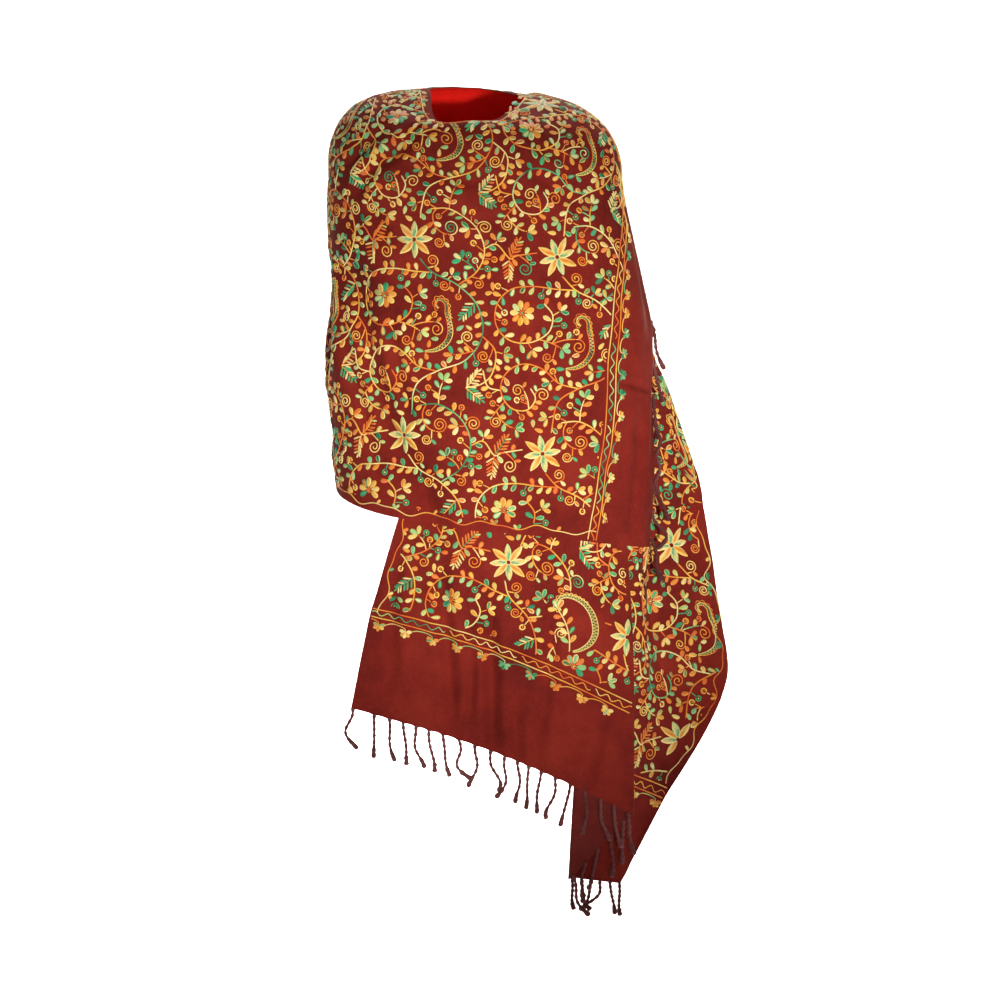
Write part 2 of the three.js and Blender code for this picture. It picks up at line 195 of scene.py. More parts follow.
HANGING = curves(
    "v left_x left_z fold_x fold_z back_x back_z out_x out_y out_z front flat",
    (0, -102, -590, 212, -590, 195, -590, 336, 36, -590, 140, 0),
    (0.24, -120, -648, 222, -698, 178, -700, 354, 18, -700, 137, 5),
    (0.48, -136, -704, 227, -800, 160, -828, 368, -8, -836, 133, 55),
    (0.64, -147, -740, 228, -882, 149, -950, 276, -54, -1010, 129, 90),
    (1, -175, -875, 228, -1027, 139, -1117, 212, -84, -1127, 122, 120),
)
BACK_TURN, FOLD_TURN, OUTER_EDGE_TURN = 44, 54, 105
ARM_TURN, SEAM_TURN, FALL_TURN = -68, -225, 134.84
print("height of the form's tables:", RIM["z"](-180), "to", HANGING["back_z"](1), "mm")


# %% [markdown]
# ## The big soft folds
#
# Cloth this fine doesn't crumple: it sags in a few large soft valleys, with lower swells beside them, and
# each one dies out at both ends. So a fold here is a path on the front, back or side view, with a depth and
# a half width. Across the path the profile is a bell curve pushed inwards, and the swell beside it a lower
# one pushed outwards. Three long valleys, without swells, move every layer of cloth together. The other folds
# stand in a list for the mantle, one for the fall and one for the hanging end, which has the fall's as well.

# %% Fold profiles
SHARED_TROUGHS = [
    (7, 17, [(-112, -84), (-62, -108), (10, -128), (70, -140)]),
    (12, 21, [(-176, -250), (-158, -350), (-142, -430), (-112, -496), (-72, -560), (-52, -630)]),
    (6, 20, [(226, -488), (214, -570), (206, -640)]),
]


def along_path(p, q, path):
    """Distance of the points (p, q) from a path, and how far along the path the nearest place is, 0 to 1."""
    path = np.array(path, float)
    lengths = np.linalg.norm(np.diff(path, axis=0), axis=1)
    starts = np.concatenate([[0], np.cumsum(lengths)])
    nearest, share = np.full(np.shape(p), 1e9), np.zeros(np.shape(p))
    for i, (a, b) in enumerate(zip(path[:-1], path[1:])):
        t = np.clip(((p - a[0]) * (b - a)[0] + (q - a[1]) * (b - a)[1]) / lengths[i] ** 2, 0, 1)
        distance = np.hypot(p - mix(a[0], b[0], t), q - mix(a[1], b[1], t))
        closer = distance < nearest
        nearest = np.where(closer, distance, nearest)
        share = np.where(closer, (starts[i] + t * lengths[i]) / starts[-1], share)
    return nearest, share


def troughs(x, z):
    """Depth of the shared valleys in the front view, as a negative offset:
    -depth * exp(-(distance / width)^2)."""
    offset = 0
    for depth, width, path in SHARED_TROUGHS:
        distance, _ = along_path(x, z, path)
        offset = offset - depth * np.exp(-((distance / width) ** 2))
    return offset


def fold_depth(folds, point, normal):
    """Height of a sheet's own folds: a valley with a lower swell on each side, faded at both ends of its path
    and where the cloth turns away from the view the path is drawn in."""
    x, y, z = np.moveaxis(point, -1, 0)
    views = {
        "front": (x, z, -normal[..., 1]),
        "back": (x, z, normal[..., 1]),
        "left": (y, z, -normal[..., 0]),
        "right": (y, z, normal[..., 0]),
    }
    height = np.zeros(x.shape)
    for view, depth, width, path in folds:
        p, q, facing = views[view]
        distance, share = along_path(p, q, path)
        r = distance / width
        fade = smoothstep(0, 0.22, share) * smoothstep(1, 0.7, share) * smoothstep(0.05, 0.5, facing)
        height -= depth * fade * (np.exp(-r * r) - 0.38 * np.exp(-((r - 1.75) ** 2) * 1.6))
    return height


def swells(point, amplitude):
    """Slow, uneven swells of hanging cloth: a sum of sines with different directions and wavelengths."""
    x, y, z = np.moveaxis(point, -1, 0) / 1000
    return amplitude * (
        np.sin(31 * x + 11 * z + 1.3) * np.cos(17 * z - 9 * y + 0.4)
        + 0.6 * np.sin(47 * x - 23 * z + 19 * y + 2.1)
        + 0.4 * np.sin(73 * z + 29 * x + 4.0) * np.sin(37 * y + 41 * x)
        + 0.22 * np.sin(171 * x + 90 * z + 61 * y)
    )


MANTLE_FOLDS = [
    ("front", 3.6, 8, [(62, -140), (60, -260), (64, -420), (60, -560), (58, -640)]),
    ("front", 3.0, 8, [(-60, -240), (-58, -310), (-62, -380)]),
    ("front", 5.2, 9, [(-196, -270), (-176, -380), (-152, -470), (-120, -560)]),
    ("front", 4.6, 8, [(-120, -300), (-104, -400), (-80, -490)]),
    ("front", 2.6, 7, [(128, -380), (122, -470), (126, -560)]),
    ("front", 3.6, 8, [(66, -44), (100, -76), (150, -98)]),
    ("front", 3.4, 8, [(40, -60), (78, -104), (140, -150), (190, -170)]),
    ("front", 6.4, 9, [(-64, -30), (-96, -70), (-150, -110), (-186, -170)]),
    ("front", 5.4, 8, [(-112, -40), (-150, -66), (-186, -110)]),
    ("front", 5.2, 9, [(-70, -96), (-20, -118), (40, -122)]),
    ("front", 4.4, 8, [(-80, -150), (-10, -176), (60, -178)]),
    ("front", 5.0, 8, [(-150, -150), (-120, -200), (-60, -236)]),
    ("front", 3.6, 5, [(206, -406), (236, -412), (268, -424)]),
    ("front", 3.0, 10, [(246, -250), (254, -330), (250, -400)]),
    ("front", 4.8, 8, [(242, -430), (238, -520), (230, -600), (228, -650)]),
    ("front", 3.4, 9, [(186, -500), (196, -580), (192, -648)]),
    ("left", 6.0, 15, [(40, -70), (10, -190), (-30, -330), (-44, -440)]),
    ("left", 4.4, 12, [(-40, -330), (-10, -440), (30, -560)]),
    ("left", 4.0, 11, [(70, -210), (60, -340), (74, -480)]),
    ("left", 3.2, 9, [(0, -420), (-20, -500), (-24, -570)]),
    ("back", 7.4, 16, [(-120, -86), (-40, -132), (40, -140), (120, -100)]),
    ("back", 4.6, 13, [(-90, -160), (0, -196), (84, -176)]),
    ("back", 6.2, 17, [(96, -220), (80, -330), (90, -450), (70, -590)]),
    ("back", 5.2, 14, [(-20, -260), (-34, -400), (-22, -600)]),
    ("back", 4.8, 13, [(-120, -230), (-110, -340), (-128, -470), (-110, -590)]),
    ("back", 3.6, 10, [(20, -380), (28, -480), (16, -580)]),
    ("right", 4.0, 12, [(-40, -120), (-20, -230), (-46, -360)]),
    ("right", 3.0, 10, [(-10, -330), (-34, -440), (-60, -560)]),
]
FALL_FOLDS = [
    ("right", 4.4, 12, [(84, -200), (64, -330), (70, -460)]),
    ("front", 4.6, 11, [(296, -430), (306, -520), (322, -640)]),
    ("front", 4.2, 10, [(270, -560), (282, -690), (300, -800)]),
    ("front", 3.6, 9, [(320, -690), (336, -780), (330, -860)]),
    ("front", 3.4, 9, [(246, -640), (256, -760), (266, -880)]),
    ("back", 4.2, 11, [(210, -360), (216, -440), (232, -520)]),
    ("back", 4.0, 11, [(280, -600), (296, -700), (280, -860)]),
]
HANGING_FOLDS = [
    ("front", 7.6, 10, [(-46, -640), (-40, -740), (-32, -830), (-30, -925)]),
    ("front", 8.6, 10, [(22, -700), (28, -800), (28, -880), (32, -965)]),
    ("front", 3.0, 8, [(190, -850), (180, -920), (156, -1008), (148, -1040)]),
    ("front", 4.2, 9, [(104, -690), (112, -800), (96, -900), (92, -990)]),
    ("front", 4.6, 9, [(-104, -640), (-116, -720), (-112, -860)]),
    ("front", 3.6, 8, [(66, -840), (62, -900), (66, -985)]),
    ("front", 3.4, 7, [(-8, -900), (-2, -850), (0, -790)]),
    ("back", 4.0, 12, [(-90, -660), (-60, -800), (-70, -900)]),
    ("back", 4.0, 12, [(60, -660), (70, -800), (60, -940)]),
]
print(len(MANTLE_FOLDS) + len(FALL_FOLDS) + len(HANGING_FOLDS), "folds placed by hand")


# %% [markdown]
# ## Points of the cloth
#
# Each stretch is a formula from two numbers to a point in space. The upright body is a section at some
# height. Above it the shoulder rounds over to the neck: the same superellipse idea, now standing upright
# between the neck rim and the ring where the body starts. The sheet winds inwards by one layer across the
# back, so its second pass lies under the first. Past the front end's edge the inner cloth swings out
# sideways, because a whole hanging end pulls at it.

# %% The wound surfaces
def section(turn, z, offset):
    """Plan section at a height: x = centre + half width * sign(s) |s|^(2/p), y likewise with the cosine."""
    centre = (BODY["left"](z) + BODY["right"](z)) / 2
    half_width = (BODY["right"](z) - BODY["left"](z)) / 2 + offset
    s, c = np.sin(np.radians(turn)), np.cos(np.radians(turn))
    half_depth = np.where(c > 0, BODY["front"](z), BODY["back"](z)) + offset
    x = centre + half_width * np.sign(s) * np.abs(s) ** (2 / SECTION_POWER)
    y = -half_depth * np.sign(c) * np.abs(c) ** (2 / SECTION_POWER)
    return np.stack(np.broadcast_arrays(x, y, z), -1)


def wound_at(turn, drop, hem, offset):
    """A rounded shoulder from rim to ring above drop 1, the upright body below it."""
    ring = RIM["ring"](turn)
    upright = section(turn, mix(ring, hem, np.maximum(drop - 1, 0)), offset)
    angle = np.radians(90 * np.clip(drop, 0, 1))
    across = np.abs(np.sin(angle)) ** (2 / SHOULDER_POWER)
    down = 1 - np.abs(np.cos(angle)) ** (2 / SHOULDER_POWER)
    at_ring = section(turn, ring, offset)
    shoulder = np.stack(
        [
            mix(RIM["x"](turn), at_ring[..., 0], across),
            mix(RIM["y"](turn), at_ring[..., 1], across),
            mix(RIM["z"](turn) + offset, ring, down),
        ],
        -1,
    )
    return np.where((drop >= 1)[..., None], upright, shoulder)


def wound(turn, drop, hem, offset):
    """The wound cloth with the shared valleys, which fade out round the sides."""
    plain = wound_at(turn, drop, hem, offset)
    facing = smoothstep(105, 70, np.abs(turn))
    return wound_at(turn, drop, hem, offset + facing * troughs(plain[..., 0], plain[..., 2]))


def outer(turn, drop):
    """First pass of the sheet: it moves in by one layer across the back."""
    return wound(turn, drop, RIM["hem"](turn), -LAYER * smoothstep(-120, -185, turn))


def swing_at(turn, y, z):
    """Sideways swing of the inner layer, growing towards the back and dying away behind the side."""
    start = smoothstep(SWING["from_y"](z), SWING["from_y"](z) + 68, y)
    return np.where(turn < 60, 0, SWING["reach"](z) * start * smoothstep(165, 118, turn))


def inner(turn, drop):
    """Second pass of the sheet, one layer in, swung out at the side."""
    point = wound(turn, drop, FALL_HEM(turn), -LAYER)
    point[..., 0] += swing_at(turn, point[..., 1], point[..., 2])
    return point


def hanging_y(x, v, z, offset):
    """Depth of the hanging layers: the body's section, flatter and flatter downwards."""
    held = np.maximum(z, HELD_Z)
    centre = (BODY["left"](held) + BODY["right"](held)) / 2
    moved = offset + troughs(x, z) * smoothstep(0.3, 0.1, v)
    half_width = (BODY["right"](held) - BODY["left"](held)) / 2 + HANGING["flat"](v) + moved
    half_depth = mix(BODY["front"](held), HANGING["front"](v), smoothstep(0, 0.24, v)) + moved
    share = np.minimum(np.abs((x - centre) / half_width), 0.995)
    return -half_depth * (1 - share**SECTION_POWER) ** (1 / SECTION_POWER)


def hanging_front(u, v):
    """Front layer of the hanging end: slanting rows, bowed up at their middle."""
    x = mix(HANGING["left_x"](v), HANGING["fold_x"](v), u)
    bow = 16 * np.sin(np.pi * u) * smoothstep(0, BORDER_V, v)
    z = mix(HANGING["left_z"](v), HANGING["fold_z"](v), u) + bow
    return np.stack([x, hanging_y(x, v, z, -LAYER), z], -1)


def pleat_return(u, v):
    """Middle layer, from behind the front fold back to the hidden fold."""
    x = mix(HANGING["fold_x"](v) - 2, HANGING["back_x"](v) + 2, u)
    z = mix(HANGING["fold_z"](v), HANGING["back_z"](v), u)
    return np.stack([x, hanging_y(x, v, z, -LAYER - PLEAT_STEP), z], -1)


def side_fall(u, v):
    """Last layer, from the hidden fold out to the free edge: wound at the top, hanging flat lower down."""
    deepest = -LAYER - 2 * PLEAT_STEP
    z = mix(HANGING["back_z"](v), HANGING["out_z"](v), u)
    x = mix(HANGING["back_x"](v), HANGING["out_x"](v), u)
    fold_x = HANGING["fold_x"](v)
    outward = smoothstep(fold_x - 20, np.maximum(HANGING["out_x"](v), fold_x + 10), x)
    y = mix(hanging_y(x, v, z, deepest), HANGING["out_y"](v), outward)
    held = np.maximum(z, HELD_Z)
    turn = mix(BACK_TURN, OUTER_EDGE_TURN, u)
    offset = mix(deepest, -LAYER, smoothstep(FOLD_TURN, FOLD_TURN + 14, turn))
    plain = section(turn, held, offset)
    at = section(turn, held, offset + troughs(plain[..., 0], z))
    swung = at[..., 0] + swing_at(turn, at[..., 1], z)
    hangs = smoothstep(0.29, 0.64, v)
    return np.stack([mix(swung, x, hangs), mix(at[..., 1], y, hangs), z], -1)


print("front of the chest at", outer(np.array(0.0), np.array(1.2)).round(1), "mm")


# %% [markdown]
# ## A sheet as a grid
#
# A grid of points stands in for each surface from here on. Its normals come from the cross product of the
# two directions of the grid, and its folds are pushed along them. The same grid then answers three
# questions for the needlework: where a place on the cloth is in space, which way is right, up and out
# there, and which place is so many millimetres right and up from another. The last one turns a small flat
# drawing into stitches that keep their true size on curved cloth: the two grid directions and their three
# dot products are enough.
#
# Each grid also has a flat chart of the cloth: b is the length down a column and a the length along a row,
# both measured on the cloth itself, or the height and the level length where the cloth hangs flat. To find
# a place from its chart, one solves two equations in two unknowns by Newton's method: look up a and b at a
# guess, and move by the errors over the slopes.

# %% Sheets
def grid_normals(points):
    """Outward unit normals of a grid: the step down crossed with the step right."""
    right = np.gradient(points, axis=1)
    down = np.gradient(points, axis=0)
    return unit(np.cross(down, right))


def grid_quads(rows, columns, first=0):
    """Four corners of every cell of a grid, in the order that faces the grid's normal."""
    at = first + np.arange(rows * columns).reshape(rows, columns)
    return np.stack([at[:-1, :-1], at[1:, :-1], at[1:, 1:], at[:-1, 1:]], -1).reshape(-1, 4)


def along(points, axis):
    """Length from the first row or column of a grid to each point, along the grid."""
    steps = np.linalg.norm(np.diff(points, axis=axis), axis=2)
    first = np.zeros_like(steps[:1]) if axis == 0 else np.zeros_like(steps[:, :1])
    return np.concatenate([first, np.cumsum(steps, axis=axis)], axis=axis)


def folded(point, folds, swell):
    """A grid's points and normals after its folds and swells."""
    normal = grid_normals(point)
    height = fold_depth(folds, point, normal) + swells(point, swell)
    point = point + normal * height[..., None]
    return point, grid_normals(point)


class Sheet:
    """A surface sampled on a grid, with its directions, and a flat chart of it in millimetres, in a and b."""

    def __init__(self, point, folds, swell, us, vs):
        self.point, self.normal = folded(point, folds, swell)
        self.right = np.gradient(self.point, axis=1)
        self.down = np.gradient(self.point, axis=0)
        self.us, self.vs = us, vs
        self.from_left, self.from_top = along(self.point, 1), along(self.point, 0)
        self.from_right = self.from_left[:, -1:] - self.from_left
        self.from_bottom = self.from_top[-1:] - self.from_top

    def chart(self, a, b):
        """Sets the flat chart, and its slopes along the rows and columns."""
        self.a, self.b = a, b
        self.slopes = np.stack([*np.gradient(a)[::-1], *np.gradient(b)[::-1]], -1)

    def look(self, array, place):
        """Value of a grid array at places (column, row): the weighted mean of the four cells' corners."""
        c = np.clip(place[..., 0], 0, array.shape[1] - 1.001)
        r = np.clip(place[..., 1], 0, array.shape[0] - 1.001)
        i, j = c.astype(int), r.astype(int)
        s, t = c - i, r - j
        if array.ndim == 3:
            s, t = s[..., None], t[..., None]
        upper = mix(array[j, i], array[j, i + 1], s)
        lower = mix(array[j + 1, i], array[j + 1, i + 1], s)
        return mix(upper, lower, t)

    def at(self, u, v):
        """Places of the sheet's own two coordinates."""
        u, v = np.broadcast_arrays(u, v)
        c = np.interp(u, self.us, np.arange(len(self.us)))
        return np.stack([c, np.interp(v, self.vs, np.arange(len(self.vs)))], -1).astype(float)

    def step(self, place, offset):
        """The place that lies offset = (right, up) millimetres from another: solves the two grid directions'
        dot products for the columns and rows to go."""
        across, down = self.look(self.right, place), self.look(self.down, place)
        e1 = unit(across)
        e2 = unit(np.cross(self.look(self.normal, place), e1))
        want = e1 * offset[..., :1] + e2 * offset[..., 1:]
        g11, g12, g22 = (across**2).sum(-1), (across * down).sum(-1), (down**2).sum(-1)
        p, q = (want * across).sum(-1), (want * down).sum(-1)
        size = np.maximum(g11 * g22 - g12**2, 1e-6)
        return place + np.stack([(p * g22 - q * g12) / size, (q * g11 - p * g12) / size], -1)

    def find(self, ab):
        """Places of chart coordinates (a, b), by Newton's method, and whether each was really found."""
        row = np.interp(ab[:, 1], self.b[:, self.b.shape[1] // 2], np.arange(len(self.b)))
        column = np.zeros(len(ab))
        for r in np.unique(row.astype(int)):
            here = row.astype(int) == r
            column[here] = np.interp(ab[here, 0], self.a[r], np.arange(self.a.shape[1]))
        guess = np.stack([column, row], -1)
        limit = np.array([self.a.shape[1] - 1.0, self.a.shape[0] - 1.0])
        for _ in range(16):
            da = ab[:, 0] - self.look(self.a, guess)
            db = ab[:, 1] - self.look(self.b, guess)
            ac, ar, bc, br = np.moveaxis(self.look(self.slopes, guess), -1, 0)
            size = ac * br - ar * bc
            size = np.where(np.abs(size) < 1e-3, 1e-3, size)
            move = np.stack([(da * br - ar * db) / size, (ac * db - da * bc) / size], -1)
            guess = np.clip(guess + np.clip(move, -12, 12), 0, limit)
        error = np.hypot(ab[:, 0] - self.look(self.a, guess), ab[:, 1] - self.look(self.b, guess))
        return guess, error < 1.5


# %% [markdown]
# ## The two cloth grids
#
# The mantle is the first pass of the sheet: across the back, round the arm, across the chest and on to the
# plain end band. The fall is the second pass: over the shoulder, then the hanging end, whose knife pleat is
# one continuous grid too. Its front layer turns back in a small half circle, runs behind itself, turns
# again and goes on to the free edge. Columns are spaced evenly along the body, not evenly in angle, so that
# no stretch of cloth has stretched cells.

# %% Grids of the cloth
fine_turns = np.linspace(-226, 180, 4061)
around = lengths_along(section(fine_turns, np.full(fine_turns.shape, -320.0), 0))
around -= np.interp(0, fine_turns, around)


def turns_between(first, last, spacing):
    """Turns from first to last that are evenly spaced along the body's section."""
    a, b = np.interp([first, last], fine_turns, around)
    count = max(int(round(abs(b - a) / spacing)), 2)
    return np.interp(np.linspace(a, b, count + 1), around, fine_turns)


FINE = 4.0
SHOULDER_LINE = -104
SWELL, HANGING_SWELL = 1.5, 1.2
mantle_turns = turns_between(SEAM_TURN, 142, FINE)
mantle_drops = np.concatenate([np.linspace(0, 1, 46)[:-1], np.linspace(1, 2, 118)])
U, V = np.meshgrid(mantle_turns, mantle_drops)
mantle = Sheet(outer(U, V), MANTLE_FOLDS, SWELL, mantle_turns, mantle_drops)
ROW_OF_RING, ROW_OF_CHART, ROW_OF_FALL_CHART = 45, 70, 100
row_length = along(mantle.point, 1)
front, nape = np.abs(mantle_turns).argmin(), np.abs(mantle_turns + 180).argmin()
a = row_length - row_length[:, front, None]
a_from_nape = row_length - row_length[:, nape, None] + a[ROW_OF_RING, nape]
b = along(mantle.point, 0)
b += -mantle.point[ROW_OF_CHART, :, 2] - b[ROW_OF_CHART]
mantle.chart(a, b)
yoke = Sheet(outer(U, V), MANTLE_FOLDS, SWELL, mantle_turns, mantle_drops)
yoke.chart(np.where((np.arange(len(a)) < ROW_OF_RING)[:, None], a_from_nape, a), b)

fall_turns = turns_between(40, FALL_TURN, FINE)
fall_drops = np.concatenate([np.linspace(0.04, 1, 44)[:-1], np.linspace(1, 2, 110)])
U, V = np.meshgrid(fall_turns, fall_drops)
fall = Sheet(inner(U, V), FALL_FOLDS, SWELL, fall_turns, fall_drops)
b = along(fall.point, 0)
b += -fall.point[ROW_OF_FALL_CHART, :, 2] - b[ROW_OF_FALL_CHART]
a = along(fall.point, 1)
fall.chart(a - a[:, -1:] + np.interp(b[:, -1], mantle.b[:, 0], mantle.a[:, 0])[:, None], b)

hang_rows = np.linspace(0, 1, 94)
BORDER_ROW = int(BORDER_V * (len(hang_rows) - 1))
hang_shares = np.linspace(0, 1, 100)
U, V = np.meshgrid(hang_shares, hang_rows)
hanging = Sheet(hanging_front(U, V), HANGING_FOLDS + FALL_FOLDS, HANGING_SWELL, hang_shares, hang_rows)
b = along(hanging.point, 0)
hanging.chart(along(hanging.point, 1) - 150, b - b[BORDER_ROW])
side_shares = np.linspace(0, 1, 60)
U, V = np.meshgrid(side_shares, hang_rows)
side = Sheet(side_fall(U, V), HANGING_FOLDS + FALL_FOLDS, SWELL, side_shares, hang_rows)
level_steps = np.diff(side.point[..., :2], axis=1, prepend=side.point[:, :1, :2])
level = np.cumsum(np.linalg.norm(level_steps, axis=2), axis=1)
edge_move = np.diff(side.point[:, -1, :2], axis=0, prepend=side.point[:1, -1, :2])
edge_a = np.cumsum((edge_move * unit(side.right[:, -1, :2])).sum(-1))
edge_column = np.interp(OUTER_EDGE_TURN, fall_turns, np.arange(len(fall_turns)))
meets = np.array([edge_column, len(fall_drops) - 1.0])
a = level - level[:, -1:] + (edge_a + fall.look(fall.a, meets))[:, None]
side.chart(a, fall.look(fall.b, meets) + fall.look(fall.point, meets)[2] - side.point[..., 2])

for name, sheet in (("mantle", mantle), ("fall", fall), ("hanging", hanging), ("side", side)):
    chart_from, chart_to = round(sheet.a.min()), round(sheet.a.max())
    print(name, "grid", sheet.point.shape[:2], "chart from", chart_from, "to", chart_to, "mm")

# %% [markdown]
# ## The cloth as a thin shell
#
# A closed shell has an outer face, an inner face and a rim that joins them, all from the same grid. It is
# 1.2 mm thick, as fine wool with its nap is. The needlework goes only through to the back as small
# stitches, so the inside of the cloth is plain. Its colour there is painted light and shade: the wrap's
# inside is a redder wool painted far brighter than the outside, to stand in for light falling into the
# neck opening, and the fall's inside is a darker, browner maroon, painted shade for the hidden layers of
# the pleat.

# %% Meshes from arrays
CLOTH = 1.2


def mesh_object(name, points, quads, materials, picks=None, normals=None, layers=None, uv=None):
    """A mesh object from arrays: points in mm, quads, one material index a face, and values at the points."""
    mesh = bpy.data.meshes.new(name)
    mesh.vertices.add(len(points))
    mesh.vertices.foreach_set("co", (np.asarray(points) * MM).astype(np.float32).ravel())
    mesh.loops.add(quads.size)
    mesh.loops.foreach_set("vertex_index", quads.astype(np.int32).ravel())
    mesh.polygons.add(len(quads))
    mesh.polygons.foreach_set("loop_start", np.arange(0, quads.size, 4, dtype=np.int32))
    for material in materials:
        mesh.materials.append(material)
    if picks is not None:
        mesh.polygons.foreach_set("material_index", picks.astype(np.int32))
    mesh.polygons.foreach_set("use_smooth", np.ones(len(quads), bool))
    mesh.update(calc_edges=True)
    if uv is not None:
        mesh.uv_layers.new(name="thread").data.foreach_set("uv", uv[quads.ravel()].astype(np.float32).ravel())
    for key, values in (layers or {}).items():
        values = np.concatenate([values, np.ones((len(values), 1))], 1).astype(np.float32)
        mesh.attributes.new(key, "FLOAT_COLOR", "POINT").data.foreach_set("color", values.ravel())
    mesh.validate()
    if normals is not None:
        mesh.normals_split_custom_set_from_vertices(normals.astype(np.float32))
    obj = bpy.data.objects.new(name, mesh)
    bpy.context.scene.collection.objects.link(obj)
    return obj


def shell(grids):
    """Points, quads, face picks and normals of closed shells over grids of (point, normal)."""
    points, quads, picks, normals, first = [], [], [], [], 0
    for point, normal in grids:
        rows, columns = point.shape[:2]
        count = rows * columns
        half = normal * CLOTH / 2
        points += [(point + half).reshape(-1, 3), (point - half).reshape(-1, 3)]
        normals += [normal.reshape(-1, 3), -normal.reshape(-1, 3)]
        face = grid_quads(rows, columns, first)
        at = first + np.arange(count).reshape(rows, columns)
        edge = np.concatenate([at[:-1, 0], at[-1, :-1], at[:0:-1, -1], at[0, :0:-1]])
        ahead = np.roll(edge, -1)
        rim = np.stack([edge, edge + count, ahead + count, ahead], -1)
        quads += [face, face[:, ::-1] + count, rim]
        picks += [np.zeros(len(face)), np.ones(len(face)), np.zeros(len(rim))]
        first += 2 * count
    return np.concatenate(points), np.concatenate(quads), np.concatenate(picks), np.concatenate(normals)


COARSE, SPREAD_TURN, FALL_FROM, FALL_COLUMNS = 5.2, 50, -30, 49
rows = np.concatenate([np.linspace(0, 0.5, 56)[:-1], np.linspace(0.5, 1, 96)])
wrap_turn, wrap_drop = [], []
for turn in turns_between(SEAM_TURN, ARM_TURN, COARSE)[:-1]:
    wrap_turn.append(np.full(len(rows), turn))
    wrap_drop.append(2 * rows)
spread = (turns_between(ARM_TURN, SPREAD_TURN, COARSE) - ARM_TURN) / (SPREAD_TURN - ARM_TURN)
for u in spread[:-1]:
    wrap_turn.append(mix(ARM_TURN, FRONT_END["seam_turn"](rows), u))
    wrap_drop.append(mix(2 * rows, FRONT_END["seam_drop"](rows), smoothstep(0.4, 1, u)))
for u in np.linspace(0, 1, 28):
    wrap_turn.append(mix(FRONT_END["seam_turn"](rows), FRONT_END["end_turn"](rows), u))
    wrap_drop.append(mix(FRONT_END["seam_drop"](rows), FRONT_END["end_drop"](rows), u))
wrap_turn, wrap_drop = np.stack(wrap_turn, 1), np.stack(wrap_drop, 1)
wrap_grid = folded(outer(wrap_turn, wrap_drop), MANTLE_FOLDS, SWELL)

last_turns = np.linspace(BACK_TURN, OUTER_EDGE_TURN, 52)
side_first = int(np.searchsorted(last_turns, 68))
fall_columns = np.concatenate(
    [
        np.linspace(FALL_FROM, last_turns[side_first], FALL_COLUMNS + 1)[:-1],
        last_turns[side_first:],
        np.linspace(OUTER_EDGE_TURN, FALL_TURN, 20)[1:],
    ]
)
share = (fall_columns - FALL_FROM) / (FALL_TURN - FALL_FROM)
V, share = np.meshgrid(np.linspace(0, 1, 118), share, indexing="ij")
top_drop = mix(0.04, 2, V)
fall_turn = mix(FALL_EDGE(top_drop), FALL_TURN, share)
fall_drop = mix(top_drop, 2 * V, smoothstep(0.6, 1, share))
fall_grid = folded(inner(fall_turn, fall_drop), FALL_FOLDS, SWELL)


def half_circle(a, b, heading, steps):
    """Columns of a small turn-back between two edges: middle + half * cos + |half| * heading * sin."""
    middle, half = (a + b) / 2, (a - b) / 2
    size = np.linalg.norm(half, axis=-1, keepdims=True)
    angles = np.linspace(0, np.pi, steps + 2)[1:-1]
    return [middle + half * np.cos(t) + size * heading * np.sin(t) for t in angles]


FRONT_COLUMNS, RETURN_COLUMNS, TURN_COLUMNS = 122, 16, 4
v = hang_rows[:, None]
front = hanging_front(np.linspace(0, 1, FRONT_COLUMNS)[None, :], v)
back = pleat_return(np.linspace(0, 1, RETURN_COLUMNS)[None, :], v)
last = side_fall(((last_turns - BACK_TURN) / (OUTER_EDGE_TURN - BACK_TURN))[None, :], v)
turn_one = half_circle(front[:, -1], back[:, 0], unit(front[:, -1] - front[:, -2]), TURN_COLUMNS)
turn_two = half_circle(back[:, -1], last[:, 0], unit(back[:, -1] - back[:, -2]), TURN_COLUMNS)
front_columns, back_columns, last_columns = (np.moveaxis(layer, 1, 0) for layer in (front, back, last))
columns = [*front_columns, *turn_one, *back_columns, *turn_two, *last_columns]
LAST_FROM = FRONT_COLUMNS + RETURN_COLUMNS + 2 * TURN_COLUMNS
column_swells = np.concatenate(
    [
        np.full(FRONT_COLUMNS, HANGING_SWELL),
        np.zeros(LAST_FROM - FRONT_COLUMNS),
        mix(0, SWELL, smoothstep(0, 12, np.arange(len(last_turns)))),
    ]
)
hang_point, _ = folded(np.stack(columns, 1), HANGING_FOLDS + FALL_FOLDS, column_swells[None, :])
hang_normal = grid_normals(hang_point)
joined = slice(LAST_FROM + side_first, LAST_FROM + len(last_turns))
seam_columns = slice(FALL_COLUMNS, FALL_COLUMNS + len(last_turns) - side_first)
gap = np.linalg.norm(hang_point[0, joined] - fall_grid[0][-1, seam_columns], axis=1)
hang_point[0, joined] = fall_grid[0][-1, seam_columns]
both = unit(hang_normal[0, joined] + fall_grid[1][-1, seam_columns])
hang_normal[0, joined] = both
fall_grid[1][-1, seam_columns] = both
print("the two grids of the fall meet within", round(float(gap.max()), 2), "mm")

FRONT_TASSELS = 20
tassel_shares = (np.arange(FRONT_TASSELS) + 0.5) / FRONT_TASSELS
tassel_shares += 0.009 * np.sin(7.1 * np.arange(FRONT_TASSELS))
tassel_shares[[0, -1]] = 0.006, 0.985
bottom = along(hang_point[-1:, :FRONT_COLUMNS], 1)[0]
off_root = np.abs(bottom[:, None] - tassel_shares * bottom[-1]).min(1)
lift = 1.7 * (1 - np.exp(-((off_root / 4.5) ** 2)))
for row, share in ((-1, 1.0), (-2, 0.5), (-3, 0.15)):
    hang_point[row, :FRONT_COLUMNS, 2] += lift * share

